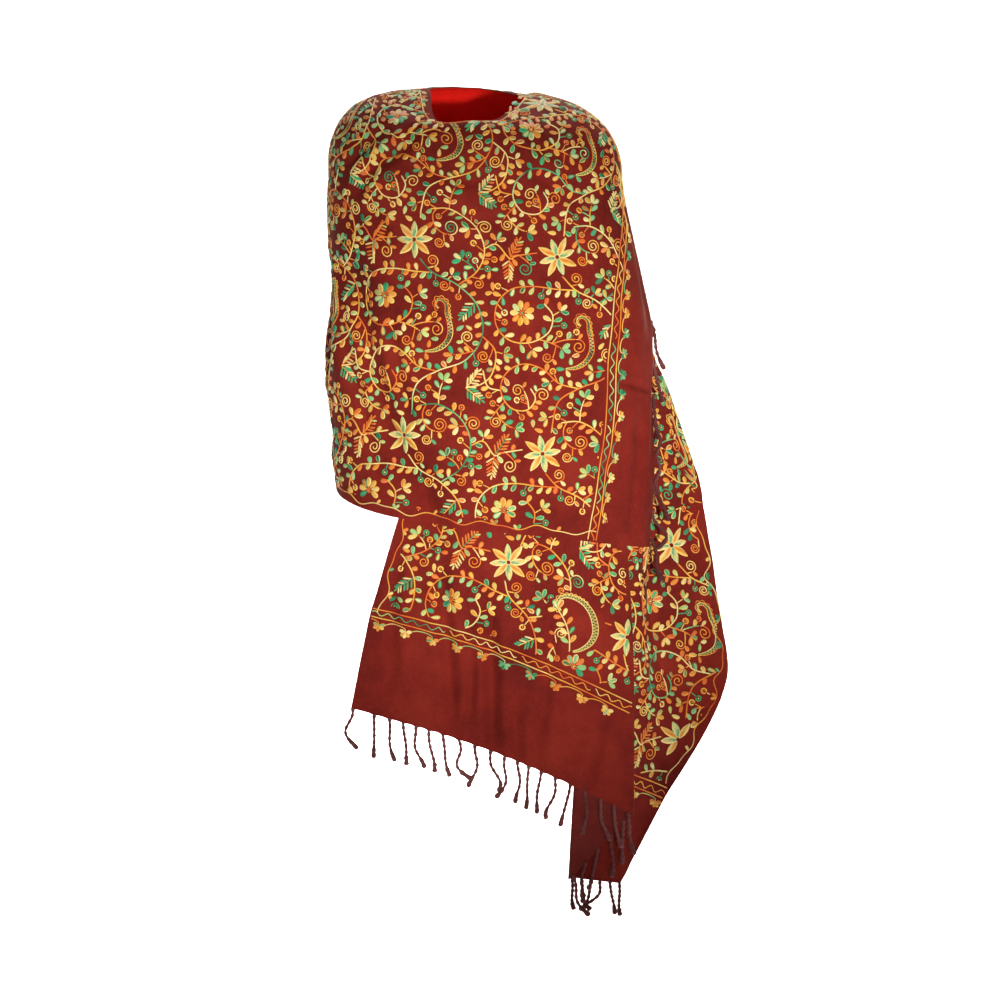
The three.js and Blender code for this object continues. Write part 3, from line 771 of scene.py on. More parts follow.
# %% [markdown]
# ## Materials
#
# The ground is fine wool: a matt surface with a little sheen, because loose fibres at a grazing angle catch
# the light and look brown-grey. Its colour drifts slowly, as dye does, and a fine cross weave is a bump far
# too small to model. The needlework is glossier viscose yarn. Its colour is stored at each point, as the yarn
# is dyed in lengths that change from cream to gold to rust to green, and its bump is the row of chain
# stitches.

# %% Shaders
def material(name, roughness, sheen=0.0, tint=(1, 1, 1), sheen_roughness=0.4):
    """A node material with a Principled shader, and the shader itself."""
    m = bpy.data.materials.new(name)
    m.use_nodes = True
    shader = m.node_tree.nodes["Principled BSDF"]
    shader.inputs["Roughness"].default_value = roughness
    shader.inputs["Sheen Weight"].default_value = sheen
    shader.inputs["Sheen Roughness"].default_value = sheen_roughness
    shader.inputs["Sheen Tint"].default_value = (*tint, 1)
    return m, shader


def add(m, kind, settings=None, **links):
    """A node with its settings; links give input sockets by name."""
    node = m.node_tree.nodes.new(kind)
    for key, value in (settings or {}).items():
        setattr(node, key, value)
    for key, value in links.items():
        socket = node.inputs[key.replace("_", " ")]
        if isinstance(value, bpy.types.NodeSocket):
            m.node_tree.links.new(value, socket)
        else:
            socket.default_value = value
    return node


def linear(r, g, b):
    """Scene-linear colour of display values 0 to 255."""
    c = np.array([r, g, b]) / 255
    return tuple(np.where(c <= 0.04045, c / 12.92, ((c + 0.055) / 1.055) ** 2.4))


def ramp(m, value, stops):
    """A colour ramp through (position, colour) stops."""
    node = add(m, "ShaderNodeValToRGB", Fac=value)
    points = node.color_ramp.elements
    while len(points) < len(stops):
        points.new(0.5)
    for point, (position, colour) in zip(points, stops):
        point.position, point.color = position, (*colour, 1)
    return node.outputs["Color"]


def wool(name, dark, mid, light, sheen):
    """Matt wool: a slow noise and a fine one drift the colour, a cross weave and a nap of short fibres make
    the bump."""
    m, shader = material(name, 0.9, sheen, (0.5, 0.34, 0.2), 0.24)
    shader.inputs["Specular IOR Level"].default_value = 0.2
    where = add(m, "ShaderNodeTexCoord").outputs["Object"]
    slow = add(m, "ShaderNodeTexNoise", Vector=where, Scale=9.0, Detail=3.0, Roughness=0.6)
    fine = add(m, "ShaderNodeTexNoise", Vector=where, Scale=210.0, Detail=3.0, Roughness=0.65)
    both = add(m, "ShaderNodeMath", {"operation": "MULTIPLY_ADD"})
    m.node_tree.links.new(fine.outputs["Fac"], both.inputs[0])
    both.inputs[1].default_value = 0.35
    m.node_tree.links.new(slow.outputs["Fac"], both.inputs[2])
    colour = ramp(m, both.outputs[0], [(0.46, dark), (0.66, mid), (0.86, light)])
    m.node_tree.links.new(colour, shader.inputs["Base Color"])
    waves = {"Scale": 420.0, "Distortion": 1.5, "Detail": 1.0}
    weave = [
        add(m, "ShaderNodeTexWave", {"bands_direction": axis}, Vector=where, **waves) for axis in ("X", "Z")
    ]
    cloth = add(m, "ShaderNodeMath", {"operation": "ADD"})
    for socket, wave in zip(cloth.inputs, weave):
        m.node_tree.links.new(wave.outputs["Fac"], socket)
    bump = add(m, "ShaderNodeBump", Strength=0.18, Distance=0.0004, Height=cloth.outputs[0])
    nap = add(m, "ShaderNodeBump", Strength=0.35, Distance=0.0009, Height=fine.outputs["Fac"])
    m.node_tree.links.new(bump.outputs["Normal"], nap.inputs["Normal"])
    m.node_tree.links.new(nap.outputs["Normal"], shader.inputs["Normal"])
    return m


WOOL = wool("maroon wool", linear(100, 20, 14), linear(121, 29, 20), linear(137, 38, 26), 0.34)
# Painted light: the wrap's wrong side is a redder wool made far brighter than its outside, so that the inside
# seen through the neck opening looks lit.
PAINTED_LIGHT_INSIDE = wool("maroon wool, inside, painted light", linear(222, 20, 12), linear(240, 27, 16), linear(248, 34, 22), 0.05)
# Painted shade: the fall's wrong side is a darker, browner copy of the wool, standing in for the shade on the
# pleat's hidden layers.
SHADED = wool("maroon wool, wrong side, painted shade", linear(92, 26, 22), linear(108, 33, 28), linear(120, 40, 34), 0.1)
FRINGE = wool("twisted wool yarn", linear(80, 37, 38), linear(104, 53, 52), linear(128, 76, 73), 0.4)

THREAD, shader = material("chain-stitch yarn", 0.46, 0.12, (1, 0.95, 0.85), 0.35)
tone = add(THREAD, "ShaderNodeAttribute", {"attribute_name": "yarn"}).outputs["Color"]
THREAD.node_tree.links.new(tone, shader.inputs["Base Color"])
shader.inputs["Specular IOR Level"].default_value = 0.55
thread_uv = add(THREAD, "ShaderNodeUVMap", {"uv_map": "thread"}).outputs["UV"]
turned = add(THREAD, "ShaderNodeSeparateXYZ", Vector=thread_uv)
link_wave = add(THREAD, "ShaderNodeMath", {"operation": "SINE"})
stretch = add(THREAD, "ShaderNodeMath", {"operation": "MULTIPLY"})
THREAD.node_tree.links.new(turned.outputs["Y"], stretch.inputs[0])
LINK = 2.3
stretch.inputs[1].default_value = 2 * math.pi / LINK
THREAD.node_tree.links.new(stretch.outputs[0], link_wave.inputs[0])
stitches = add(THREAD, "ShaderNodeBump", Strength=0.5, Distance=0.0006, Height=link_wave.outputs[0])
THREAD.node_tree.links.new(stitches.outputs["Normal"], shader.inputs["Normal"])
print("materials:", [m.name for m in bpy.data.materials])

# %% [markdown]
# ## Making the cloth pieces
#
# The wrap is one sheet with one free end. The fall is the rest of the same real sheet; it is a piece of its
# own because the line between them is hidden at the back seam. Each stands for the walls of the solid model
# that it covers.

# %% The two cloth pieces
wrap_points, wrap_quads, wrap_picks, wrap_normals = shell([wrap_grid])
# The wrap's inner faces carry the painted light of its brightened wrong side.
wrap_cloth = mesh_object("wrap_cloth", wrap_points, wrap_quads, [WOOL, PAINTED_LIGHT_INSIDE], wrap_picks, wrap_normals)
fall_points, fall_quads, fall_picks, fall_normals = shell([fall_grid, (hang_point, hang_normal)])
# The fall's inner faces carry the painted shade of its darkened wrong side.
fall_cloth = mesh_object("fall_cloth", fall_points, fall_quads, [WOOL, SHADED], fall_picks, fall_normals)
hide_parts("front_wrap", "front_end_band", "arm_wrap", "back_wrap")
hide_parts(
    "shoulder_fall", "hanging_front", "hanging_band", "pleat_return", "side_fall", "side_band"
)
for piece in (wrap_cloth, fall_cloth):
    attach(piece, "root")
print("cloth faces:", len(wrap_quads), len(fall_quads))

# %% [markdown]
# ## A repeat of the vine
#
# Shawls like this are printed with a block before they are stitched, so one drawing repeats over the field.
# A repeat here is a slightly slanted cell of about 0.2 by 0.28 m. Its main lines are charted: an
# eight-petalled star, a daisy inside a ring of vine, a laddered hook, fern sprigs and the long wave that
# joins one star to the next. Then the vine grows on its own: short branches leave the lines that are
# already there, curl, and end in a coil, three leaves, ring berries or a sprig, wherever there is free
# cloth. A raster of the cell, which wraps round at its edges, keeps them from touching.

# %% Growing the repeat
ACROSS, DOWN = np.array([204.0, -26.0]), np.array([-36.0, -280.0])
TO_CELL = np.linalg.inv(np.stack([ACROSS, DOWN]))
RASTER = np.array([204, 280])
rng = np.random.default_rng(23)


def disc(radius, pitch=0.9):
    """Offsets that fill a disc."""
    steps = np.arange(-radius, radius + pitch / 2, pitch)
    x, y = np.meshgrid(steps, steps)
    inside = x * x + y * y <= radius * radius
    return np.stack([x[inside], y[inside]], -1)


def rotate(points, angle):
    """Flat points turned by an angle in radians."""
    c, s = np.cos(angle), np.sin(angle)
    return np.stack([points[..., 0] * c - points[..., 1] * s, points[..., 0] * s + points[..., 1] * c], -1)


def smooth_line(points, spacing=2.0):
    """A smooth line through points (Catmull-Rom pieces), resampled evenly."""
    p = np.array(points, float)
    p = np.concatenate([[2 * p[0] - p[1]], p, [2 * p[-1] - p[-2]]])
    t = np.linspace(0, 1, 14)[:-1, None]
    pieces = []
    for a, b, c, d in zip(p, p[1:], p[2:], p[3:]):
        square, cube = 2 * a - 5 * b + 4 * c - d, 3 * b - a - 3 * c + d
        pieces.append(0.5 * (2 * b + (c - a) * t + square * t**2 + cube * t**3))
    return resample(np.concatenate([*pieces, p[-2:-1]]), spacing)


def resample(line, spacing):
    """The same line with even steps."""
    lengths = lengths_along(line)
    at = np.linspace(0, lengths[-1], max(int(np.ceil(lengths[-1] / spacing)), 2) + 1)
    return np.stack([np.interp(at, lengths, line[:, k]) for k in range(line.shape[1])], -1)


def bend_line(start, heading, length, first_turn, last_turn=None, step=1.6):
    """A line drawn by walking: at each step the heading turns, at a rate that goes from first to last."""
    count = max(int(length / step), 2)
    rates = np.linspace(first_turn, first_turn if last_turn is None else last_turn, count)
    headings = heading + np.concatenate([[0], np.cumsum(rates * length / count)[:-1]])
    steps = toward(headings) * length / count
    return np.concatenate([[start], start + np.cumsum(steps, axis=0)])


COIL_STEP = 0.24


def coil_line(start, heading, radius, turns, side):
    """A tendril: a circle that tightens as it goes, from a radius down to a sixth of it."""
    angles = np.arange(0, turns * 2 * np.pi, COIL_STEP)
    radii = radius * (1 - 0.84 * angles / angles[-1])
    headings = heading + side * (angles + COIL_STEP / 2)
    steps = toward(headings) * (radii * COIL_STEP)[:, None]
    return np.concatenate([[start], start + np.cumsum(steps, axis=0)])


class Motif:
    """Lines (points, width, tone) and petals (x, y, angle, length, width, style, tone) drawn together."""

    def __init__(self, root, whole=False):
        self.root, self.lines, self.petals = np.asarray(root, float), [], []
        self.whole = whole

    def line(self, points, width=1.9, tone=0.0):
        self.lines.append((points, width, tone))
        return points

    def petal(self, at, angle, length, width, style=0, tone=0.0):
        self.petals.append((at[0], at[1], angle, length, width, style, tone))

    def body(self):
        """Points that fill the motif, to compare with the cloth already taken."""
        parts = [resample(points, 1.4) for points, _, _ in self.lines]
        for x, y, angle, length, width, _, _ in self.petals:
            s, t = np.meshgrid(np.linspace(0.3, 1, 5), (-0.8, 0, 0.8))
            local = np.stack([s * length, t * width / 2], -1).reshape(-1, 2)
            parts.append(np.array([x, y]) + rotate(local, angle))
        return np.concatenate(parts)


class Repeat:
    """The cell with what has been drawn in it."""

    def __init__(self):
        self.taken, self.lines, self.petals = np.zeros(RASTER, bool), [], []
        self.group, self.line_groups, self.petal_groups = 0, [], []

    def cells(self, points):
        share = (points @ TO_CELL) % 1.0
        index = np.minimum((share * RASTER).astype(int), RASTER - 1)
        return index[..., 0], index[..., 1]

    def put(self, motif, force=False, gap=1.5, near=6.0):
        """Draws a motif if its cloth is free, apart from a small space round its root."""
        body = motif.body()
        away = np.linalg.norm(body - motif.root, axis=1) > near
        if not force and (not away.any() or self.taken[self.cells(body[away])].any()):
            return False
        self.taken[self.cells(body[:, None] + disc(gap))] = True
        self.group += motif.whole
        self.line_groups += [self.group * motif.whole] * len(motif.lines)
        self.petal_groups += [self.group * motif.whole] * len(motif.petals)
        self.lines += motif.lines
        self.petals += motif.petals
        return True


def leaf_tone():
    """Where a leaf's yarn stands in the dyed length: cream, gold, rust or green."""
    return rng.choice([0.02, 0.12, 0.3, 0.38, 0.64, 0.72, 0.8], p=[0.22, 0.2, 0.14, 0.13, 0.1, 0.13, 0.08])


def trefoil(root, heading, stalk, size=13.8, tone=0.05):
    """Three leaves on a short stalk."""
    m = Motif(root)
    tip = m.line(bend_line(m.root, heading, stalk, rng.normal(0, 0.01)), 1.8, tone)[-1]
    for turn in (-58, 0, 58):
        turn = np.radians(turn + rng.normal(0, 6))
        at = tip + 1.2 * toward(heading + turn)
        m.petal(at, heading + turn, size * rng.uniform(0.88, 1.08), size * 0.54, 0, leaf_tone())
    return m


def leaf_pair(root, heading, size=13.4):
    """Two leaves, one on each side of a line."""
    m = Motif(root)
    for turn in (-56, 56):
        angle = heading + np.radians(turn + rng.normal(0, 7))
        at = m.root + 1.4 * toward(angle)
        m.petal(at, angle, size * rng.uniform(0.85, 1.08), size * 0.54, 0, leaf_tone())
    return m


def one_leaf(root, heading, size=12.5):
    """A single leaf."""
    m = Motif(root)
    m.petal(m.root, heading, size * rng.uniform(0.85, 1.08), size * 0.58, 0, leaf_tone())
    return m


def berry(root, heading, stalk=11.0):
    """A ring of stitches round a knot, on a stalk."""
    m = Motif(root)
    tone = rng.choice([0.04, 0.1, 0.36, 0.72])
    tip = m.line(bend_line(m.root, heading, stalk, rng.normal(0, 0.012)), 1.7, tone)[-1]
    middle = tip + 4.2 * toward(heading)
    angles = np.linspace(0, 2 * np.pi, 13) + heading + np.pi
    m.line(middle + 3.8 * toward(angles), 2.6, tone)
    m.petal(middle - [1.2, 0], 0, 2.4, 2.4, 2, tone + 0.3)
    return m


def tendril(root, heading, lead, radius, side):
    """A branch that ends in a coil, with a leaf on its outside."""
    m = Motif(root)
    stem = m.line(bend_line(m.root, heading, lead, side * rng.uniform(0.0, 0.02)), 2.0, 0.04)
    at = heading + heading_of(stem[-1] - stem[-2]) - heading_of(stem[1] - stem[0])
    m.line(coil_line(stem[-1], at, radius, rng.uniform(1.7, 2.2), side), 1.9, 0.06)
    m.petal(stem[-1], at - side * 0.9, 10, 5.8, 0, leaf_tone())
    return m


def fern(root, heading, length=30.0):
    """A comb of thin leaflets on both sides of a short stem."""
    m = Motif(root)
    stem = m.line(bend_line(m.root, heading, length, rng.normal(0, 0.006)), 1.6, 0.04)
    tone = rng.choice([0.04, 0.3, 0.7])
    for share in (0.14, 0.34, 0.54, 0.74, 0.93):
        at, size = stem[int(share * (len(stem) - 1))], 14.5 - 6 * share
        for side in (-1, 1):
            m.petal(at, heading + side * 0.8, size, 2.9, 2, tone + rng.choice([0, 0, 0.3]))
    m.petal(stem[-1], heading, 7, 3, 2, tone)
    return m


def star(centre, radius=30.0, turn=0.2):
    """Eight pointed petals, alternately long and a little shorter, each in two tones."""
    m = Motif(centre)
    for k in range(8):
        angle = turn + k * np.pi / 4
        at = m.root + 2.0 * toward(angle)
        m.petal(at, angle, radius * (0.96 if k % 2 else 0.84), 10.8, 1, (0.04, 0.1, 0.0, 0.16)[k % 4])
    return m


def daisy(centre, radius=18.5, petals=9):
    """Round petals about a small ring."""
    m = Motif(centre)
    for k in range(petals):
        angle = 0.3 + 2 * np.pi * k / petals
        at = m.root + 4.2 * toward(angle)
        m.petal(at, angle, radius - 4.2, 8.8, 0, (0.04, 0.3, 0.12, 0.66, 0.08, 0.7)[k % 6])
    angles = np.linspace(0, 2 * np.pi, 11)
    m.line(m.root + 3.4 * toward(angles), 2.0, 0.34)
    m.petal(m.root - [1.6, 0], 0, 3.2, 3.2, 0, 0.36)
    return m


def hook(points, width=7.5):
    """A crescent of two lines with a zigzag ladder between them, and scallops round its curled head."""
    m = Motif(points[0], whole=True)
    middle = smooth_line(points, 2.5)
    along = unit(np.gradient(middle, axis=0))
    beside = np.stack([-along[:, 1], along[:, 0]], -1)
    share = np.linspace(0, 1, len(middle))
    taper = np.interp(share, [0, 0.2, 0.6, 0.8, 1], [0.3, 0.5, 1, 0.8, 0.2])[:, None] * width / 2
    m.line(middle + beside * taper, 1.6, 0.08)
    m.line(middle - beside * taper, 1.6, 0.02)
    zigzag = np.where(np.arange(len(middle)) % 2, 1.0, -1.0)[:, None]
    m.line(middle + beside * taper * zigzag, 1.2, 0.62)
    head = smooth_line(points, 1.0)
    head = head[: int(0.44 * len(head))]
    along = unit(np.gradient(head, axis=0))
    out = np.stack([-along[:, 1], along[:, 0]], -1)
    scallop = 2.6 + 3.0 * np.abs(np.sin(np.pi * np.arange(len(head)) / 6.2))[:, None]
    m.line(head + out * scallop, 1.4, 0.1)
    return m


repeat = Repeat()
charted = [
    star((0, 0)),
    daisy((-58, -80)),
    hook(
        [(26, -99), (21, -94), (24, -87), (32, -87), (37, -94), (37, -106)]
        + [(40, -120), (40, -136), (32, -150), (18, -158), (2, -160)]
    ),
    fern((-70, -2), 0.95, 30),
    fern((-70, -2), -1.75, 28),
    fern((60, -212), 0.75, 30),
    fern((60, -212), -0.65, 27),
]
for motif in charted:
    repeat.put(motif, force=True)
main_lines = [
    [(4, -27), (22, -48), (56, -66), (82, -96), (86, -138), (62, -172), (20, -188), (-12, -208), (-24, -251)],
    [(22, -48), (-6, -46), (-40, -42), (-72, -46), (-94, -66), (-98, -96)]
    + [(-80, -118), (-50, -122), (-22, -108), (-14, -84), (-26, -66)],
    [(20, -188), (-8, -180), (-30, -160), (-58, -152), (-84, -164)]
    + [(-94, -190), (-82, -214), (-58, -218), (-44, -202), (-50, -186)],
    [(56, -66), (86, -46), (100, -14), (88, 22), (58, 44), (28, 44)],
    [(100, -14), (118, -8), (134, -28), (146, -24), (176, -20)],
    [(86, -138), (104, -160), (100, -190), (84, -206), (60, -212)],
    [(-94, -190), (-112, -184), (-118, -160)],
]
stems = []
for points in main_lines:
    stem = Motif(points[0])
    stems.append(stem.line(smooth_line(points), 2.3, 0.03))
    repeat.put(stem, force=True, gap=2.2)


DRESSING = ("pair", "pair", "pair", "pair", "trefoil", "trefoil", "leaf")


def dress(line, spacing):
    """Puts small motifs along a line, on both sides in turn, wherever they fit."""
    lengths = lengths_along(line)
    side = rng.choice([-1, 1])
    for s in np.arange(spacing * 0.6, lengths[-1] - 3, spacing * rng.uniform(0.9, 1.1)):
        i = int(np.searchsorted(lengths, s))
        heading = heading_of(line[min(i + 1, len(line) - 1)] - line[max(i - 1, 0)])
        kind = rng.choice(DRESSING)
        if kind == "pair" and repeat.put(leaf_pair(line[i], heading)):
            continue
        for way in (side, -side):
            if kind == "trefoil":
                repeat.put(trefoil(line[i], heading + way * 1.15, rng.uniform(7, 11)))
            else:
                repeat.put(one_leaf(line[i], heading + way))
        side = -side


def sprig(root, heading, length, way):
    """A short curved stem with a pair of leaves on it and three at its end."""
    m = Motif(root)
    stem = m.line(bend_line(m.root, heading, length, way * rng.uniform(-0.02, 0.045)), 2.0, 0.04)
    end = heading_of(stem[-1] - stem[-2])
    middle = len(stem) // 2
    parts = [trefoil(stem[-1], end, 2)]
    if length > 15:
        parts.append(leaf_pair(stem[middle], (heading + end) / 2, 12.4))
    for part in parts:
        m.lines += part.lines
        m.petals += part.petals
    return m


KINDS = ["branch", "tendril", "trefoil", "berry", "fern", "leaf", "sprig"]
EARLY = [0.66, 0.12, 0.12, 0.04, 0.06, 0, 0]
MIDDLE = [0.3, 0.1, 0.2, 0.06, 0.04, 0, 0.3]
LATE = [0.06, 0.08, 0.3, 0.08, 0, 0.22, 0.26]
ATTEMPTS, DRESS_AT, MIDDLE_AT, CLOSER_AT, LATE_AT, FILLINGS = 11000, 700, 1500, 3000, 4500, 3000
main_stems = list(stems)
for attempt in range(ATTEMPTS):
    if attempt == DRESS_AT:
        for stem in main_stems:
            dress(stem, 14)
    line = stems[rng.integers(len(stems))]
    i = rng.integers(2, max(len(line) - 1, 3))
    heading = heading_of(line[min(i, len(line) - 1)] - line[i - 1])
    way = rng.choice([-1, 1])
    away = heading + way * rng.uniform(0.5, 1.35)
    gap = 1.5 if attempt < CLOSER_AT else 1.1
    kind = rng.choice(KINDS, p=EARLY if attempt < MIDDLE_AT else MIDDLE if attempt < LATE_AT else LATE)
    if kind == "branch":
        points = bend_line(line[i], away, rng.uniform(22, 58), way * rng.uniform(-0.03, 0.045))
        end = heading_of(points[-1] - points[-2])
        if rng.random() < 0.36:
            motif = tendril(points[-1], end, 3, rng.uniform(8, 11), rng.choice([-1, 1]))
        else:
            motif = trefoil(points[-1], end, 2.5)
        motif.root = line[i]
        motif.line(points, 2.1, 0.03)
        if repeat.put(motif, gap=gap, near=9):
            stems.append(points)
            dress(points, 13.5)
    elif kind == "tendril":
        repeat.put(tendril(line[i], away, rng.uniform(6, 22), rng.uniform(7, 10.5), way), gap=gap, near=7)
    elif kind == "trefoil":
        repeat.put(trefoil(line[i], away, rng.uniform(5, 13), 12.6), gap=gap)
    elif kind == "sprig":
        motif = sprig(line[i], away, rng.uniform(10, 30), way)
        if repeat.put(motif, gap=gap):
            stems.append(motif.lines[0][0])
    elif kind == "berry":
        repeat.put(berry(line[i], away, rng.uniform(7, 15)), gap=gap)
    elif kind == "fern":
        repeat.put(fern(line[i], away, rng.uniform(22, 30)), gap=gap)
    else:
        repeat.put(one_leaf(line[i], away), gap=gap)
for attempt in range(FILLINGS):
    spot = rng.random(2) @ np.stack([ACROSS, DOWN])
    if attempt % 2:
        repeat.put(sprig(spot, rng.uniform(0, 2 * np.pi), rng.uniform(6, 20), 1), gap=1.0, near=0)
    else:
        repeat.put(leaf_pair(spot, rng.uniform(0, 2 * np.pi), 12.4), gap=1.0, near=0)
total = sum(np.linalg.norm(np.diff(line, axis=0), axis=1).sum() for line, _, _ in repeat.lines)
print("one repeat:", len(repeat.petals), "petals and leaves,", round(total / 1000, 2), "m of line")
print("cloth taken:", round(float(repeat.taken.mean()), 2))

# %% [markdown]
# ## Needlework on the cloth
#
# Two shapes make all the needlework. A line is a raised strip that follows the cloth: its edges sink into
# the wool and its middle stands 1 mm proud. A petal is a small cushion of stitches: rows of points along
# it, a width for each row, and a domed profile across. Array arithmetic builds each line in one go and all
# the petals of a sheet in another, and they are joined into one mesh for each stretch of cloth. The yarn is
# space-dyed, so a tone is a place on a circle of colours, and a long line drifts to and fro along that
# circle.

# %% Lines and petals on a sheet
YARN = [
    (0, (255, 238, 160)),
    (0.15, (255, 200, 76)),
    (0.33, (238, 106, 26)),
    (0.45, (252, 176, 62)),
    (0.6, (214, 232, 134)),
    (0.7, (62, 182, 118)),
    (0.82, (8, 116, 76)),
    (0.92, (140, 208, 138)),
    (1, (255, 238, 160)),
]
YARN_AT = np.array([at for at, _ in YARN])
YARN_COLOUR = np.array([linear(*colour) for _, colour in YARN])
LINE_ACROSS = np.array([-1, -0.6, 0, 0.6, 1]) / 2
LINE_HEIGHT = np.array([-0.3, 0.75, 1.05, 0.75, -0.3])
PETAL_ALONG = np.array([0, 0.14, 0.36, 0.6, 0.8, 0.94, 1])
PETAL_ACROSS = np.array([-1, -0.74, -0.44, 0, 0.44, 0.74, 1])
PETAL_HEIGHT = np.array([-0.3, 0.95, 1.0, 1.1, 1.0, 0.95, -0.3])
PETAL_RIM = np.array([1, 1, 0.1, 0, 0.1, 1, 1])
PETAL_WIDTHS = np.array(
    [
        [0.12, 0.42, 0.84, 1, 0.88, 0.5, 0.05],
        [0.2, 0.56, 0.93, 0.94, 0.62, 0.26, 0.02],
        [0.3, 0.66, 0.95, 1, 0.88, 0.55, 0.05],
    ]
)
FACE = CLOTH / 2


def yarn(tone):
    """Colour of the space-dyed yarn at a tone; the tones run round a circle, so that 1 is 0 again."""
    return np.stack([np.interp(tone % 1.0, YARN_AT, YARN_COLOUR[:, k]) for k in range(3)], -1)


class Needlework:
    """Lines and petals gathered for one sheet, until they are made into one mesh."""

    def __init__(self, sheet):
        self.sheet, self.lines, self.petals = sheet, [], []

    def line(self, places, width, tones):
        """A stitched line through places, each with its tone."""
        if len(places) > 2:
            self.lines.append((places, width, tones))

    def petal(self, places, values):
        """Petals at places, with values (angle, length, width, style, tone) each."""
        self.petals.append(np.concatenate([places, values], -1).reshape(-1, 7))

    def mesh_of_lines(self):
        """Points, quads, colours and thread coordinates of all lines."""
        points, quads, colours, uvs, first = [], [], [], [], 0
        for places, width, tones in self.lines:
            middle = self.sheet.look(self.sheet.point, places)
            normal = unit(self.sheet.look(self.sheet.normal, places))
            ahead = unit(np.gradient(middle, axis=0))
            beside = unit(np.cross(normal, ahead))
            ends = np.ones((len(places), 1))
            ends[[0, -1]] = 0.35
            wide = LINE_ACROSS * width * ends
            high = FACE + np.where(ends < 1, LINE_HEIGHT[0], LINE_HEIGHT)
            at = middle[:, None] + beside[:, None] * wide[..., None] + normal[:, None] * high[..., None]
            length = lengths_along(middle)
            points.append(at.reshape(-1, 3))
            quads.append(grid_quads(*at.shape[:2], first))
            colours.append(np.repeat(yarn(tones), len(LINE_ACROSS), axis=0))
            uvs.append(np.stack(np.broadcast_arrays(wide, length[:, None]), -1).reshape(-1, 2))
            first += at.shape[0] * at.shape[1]
        return points, quads, colours, uvs, first

    def mesh_of_petals(self, first):
        """The same for all petals, made at once: (petal, along, across) arrays."""
        petals = np.concatenate(self.petals)
        place, (angle, length, width, style, tone) = petals[:, :2], petals[:, 2:].T
        style = style.astype(int)
        half = PETAL_WIDTHS[style][:, :, None] * width[:, None, None] / 2
        shape = len(petals), len(PETAL_ALONG), len(PETAL_ACROSS)
        x = np.broadcast_to(PETAL_ALONG[None, :, None] * length[:, None, None], shape)
        y = half * PETAL_ACROSS
        c, s = np.cos(angle)[:, None, None], np.sin(angle)[:, None, None]
        root = place[:, None, None, :] + np.zeros(shape + (2,))
        spot = self.sheet.step(root, np.stack([x * c - y * s, x * s + y * c], -1))
        tip = np.minimum(PETAL_ALONG * 9, (1 - PETAL_ALONG) * 14).clip(0, 1)[None, :, None]
        high = FACE + np.where(PETAL_HEIGHT > 0, PETAL_HEIGHT * tip - 0.3 * (1 - tip), PETAL_HEIGHT)
        at = self.sheet.look(self.sheet.point, spot)
        at = at + unit(self.sheet.look(self.sheet.normal, spot)) * high[..., None]
        rim = np.maximum(PETAL_RIM[None, None, :], (np.abs(PETAL_ALONG - 0.5) > 0.42)[None, :, None])
        half_tone = np.where(style == 1, 0.1, 0)[:, None, None] * np.sign(PETAL_ACROSS)
        root_tone = np.where(style == 1, np.where(tone < 0.06, -0.27, 0.25), 0)[:, None]
        root_tone = root_tone * smoothstep(0.62, 0.1, PETAL_ALONG)
        shift = self.middle_shift(len(petals), style)[:, None] + root_tone
        inside = yarn(tone[:, None, None] + half_tone + shift[:, :, None]) * 0.84
        edge_tone = tone + np.where(style == 1, -0.04, 0)
        outside = yarn(edge_tone[:, None, None] + np.zeros(x.shape))
        colour = mix(inside, outside, (rim + np.zeros(x.shape))[..., None])
        face = grid_quads(len(PETAL_ALONG), len(PETAL_ACROSS))
        each = len(PETAL_ALONG) * len(PETAL_ACROSS)
        quads = first + (face[None] + each * np.arange(len(petals))[:, None, None]).reshape(-1, 4)
        return at.reshape(-1, 3), quads, colour.reshape(-1, 3), np.stack([y, x], -1).reshape(-1, 2)

    def middle_shift(self, count, style):
        """How far along the dye each petal's filling is from its outline."""
        shift = rng.choice([0, 0.1, -0.12, 0.28, 0.62], count, p=[0.34, 0.24, 0.16, 0.16, 0.1])
        return np.where(style == 0, shift, np.where(style == 1, 0.03, 0))

    def make(self, name):
        """One object with everything in it."""
        points, quads, colours, uvs, first = self.mesh_of_lines()
        petals = self.mesh_of_petals(first)
        points, quads, colours, uvs = (
            np.concatenate([*parts, extra]) for parts, extra in zip((points, quads, colours, uvs), petals)
        )
        obj = mesh_object(name, points, quads, [THREAD], layers={"yarn": colours}, uv=uvs)
        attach(obj, "root")
        print(name, len(self.lines), "lines,", 2 * len(quads), "triangles")
        return obj


def drift(length, tone, phase, green):
    """Tones along a stitched line: to rust and back, or to green and back for a line that has green in it."""
    swing = 0.18 * (1 - np.cos(2 * np.pi * (length / 290 + phase)))
    return tone + np.where(green, -1.0, 1.0) * swing


# %% [markdown]
# ## Laying the repeat over the sheets
#
# The repeat is copied over each sheet's chart, cell by cell, as the printer's block is. A line is split
# where it leaves the field, and a petal is left out unless its root and its tip are both inside. The field
# stops short of the neck, of the hems and of the end borders, and where another layer of cloth lies on top
# nothing is laid.

# %% Laying the repeat
WHOLE_ENOUGH, DYE_STEP = 0.6, 2.3
RIM_MARGIN, HEM_MARGIN, BORDER_MARGIN = 4, 16, 17


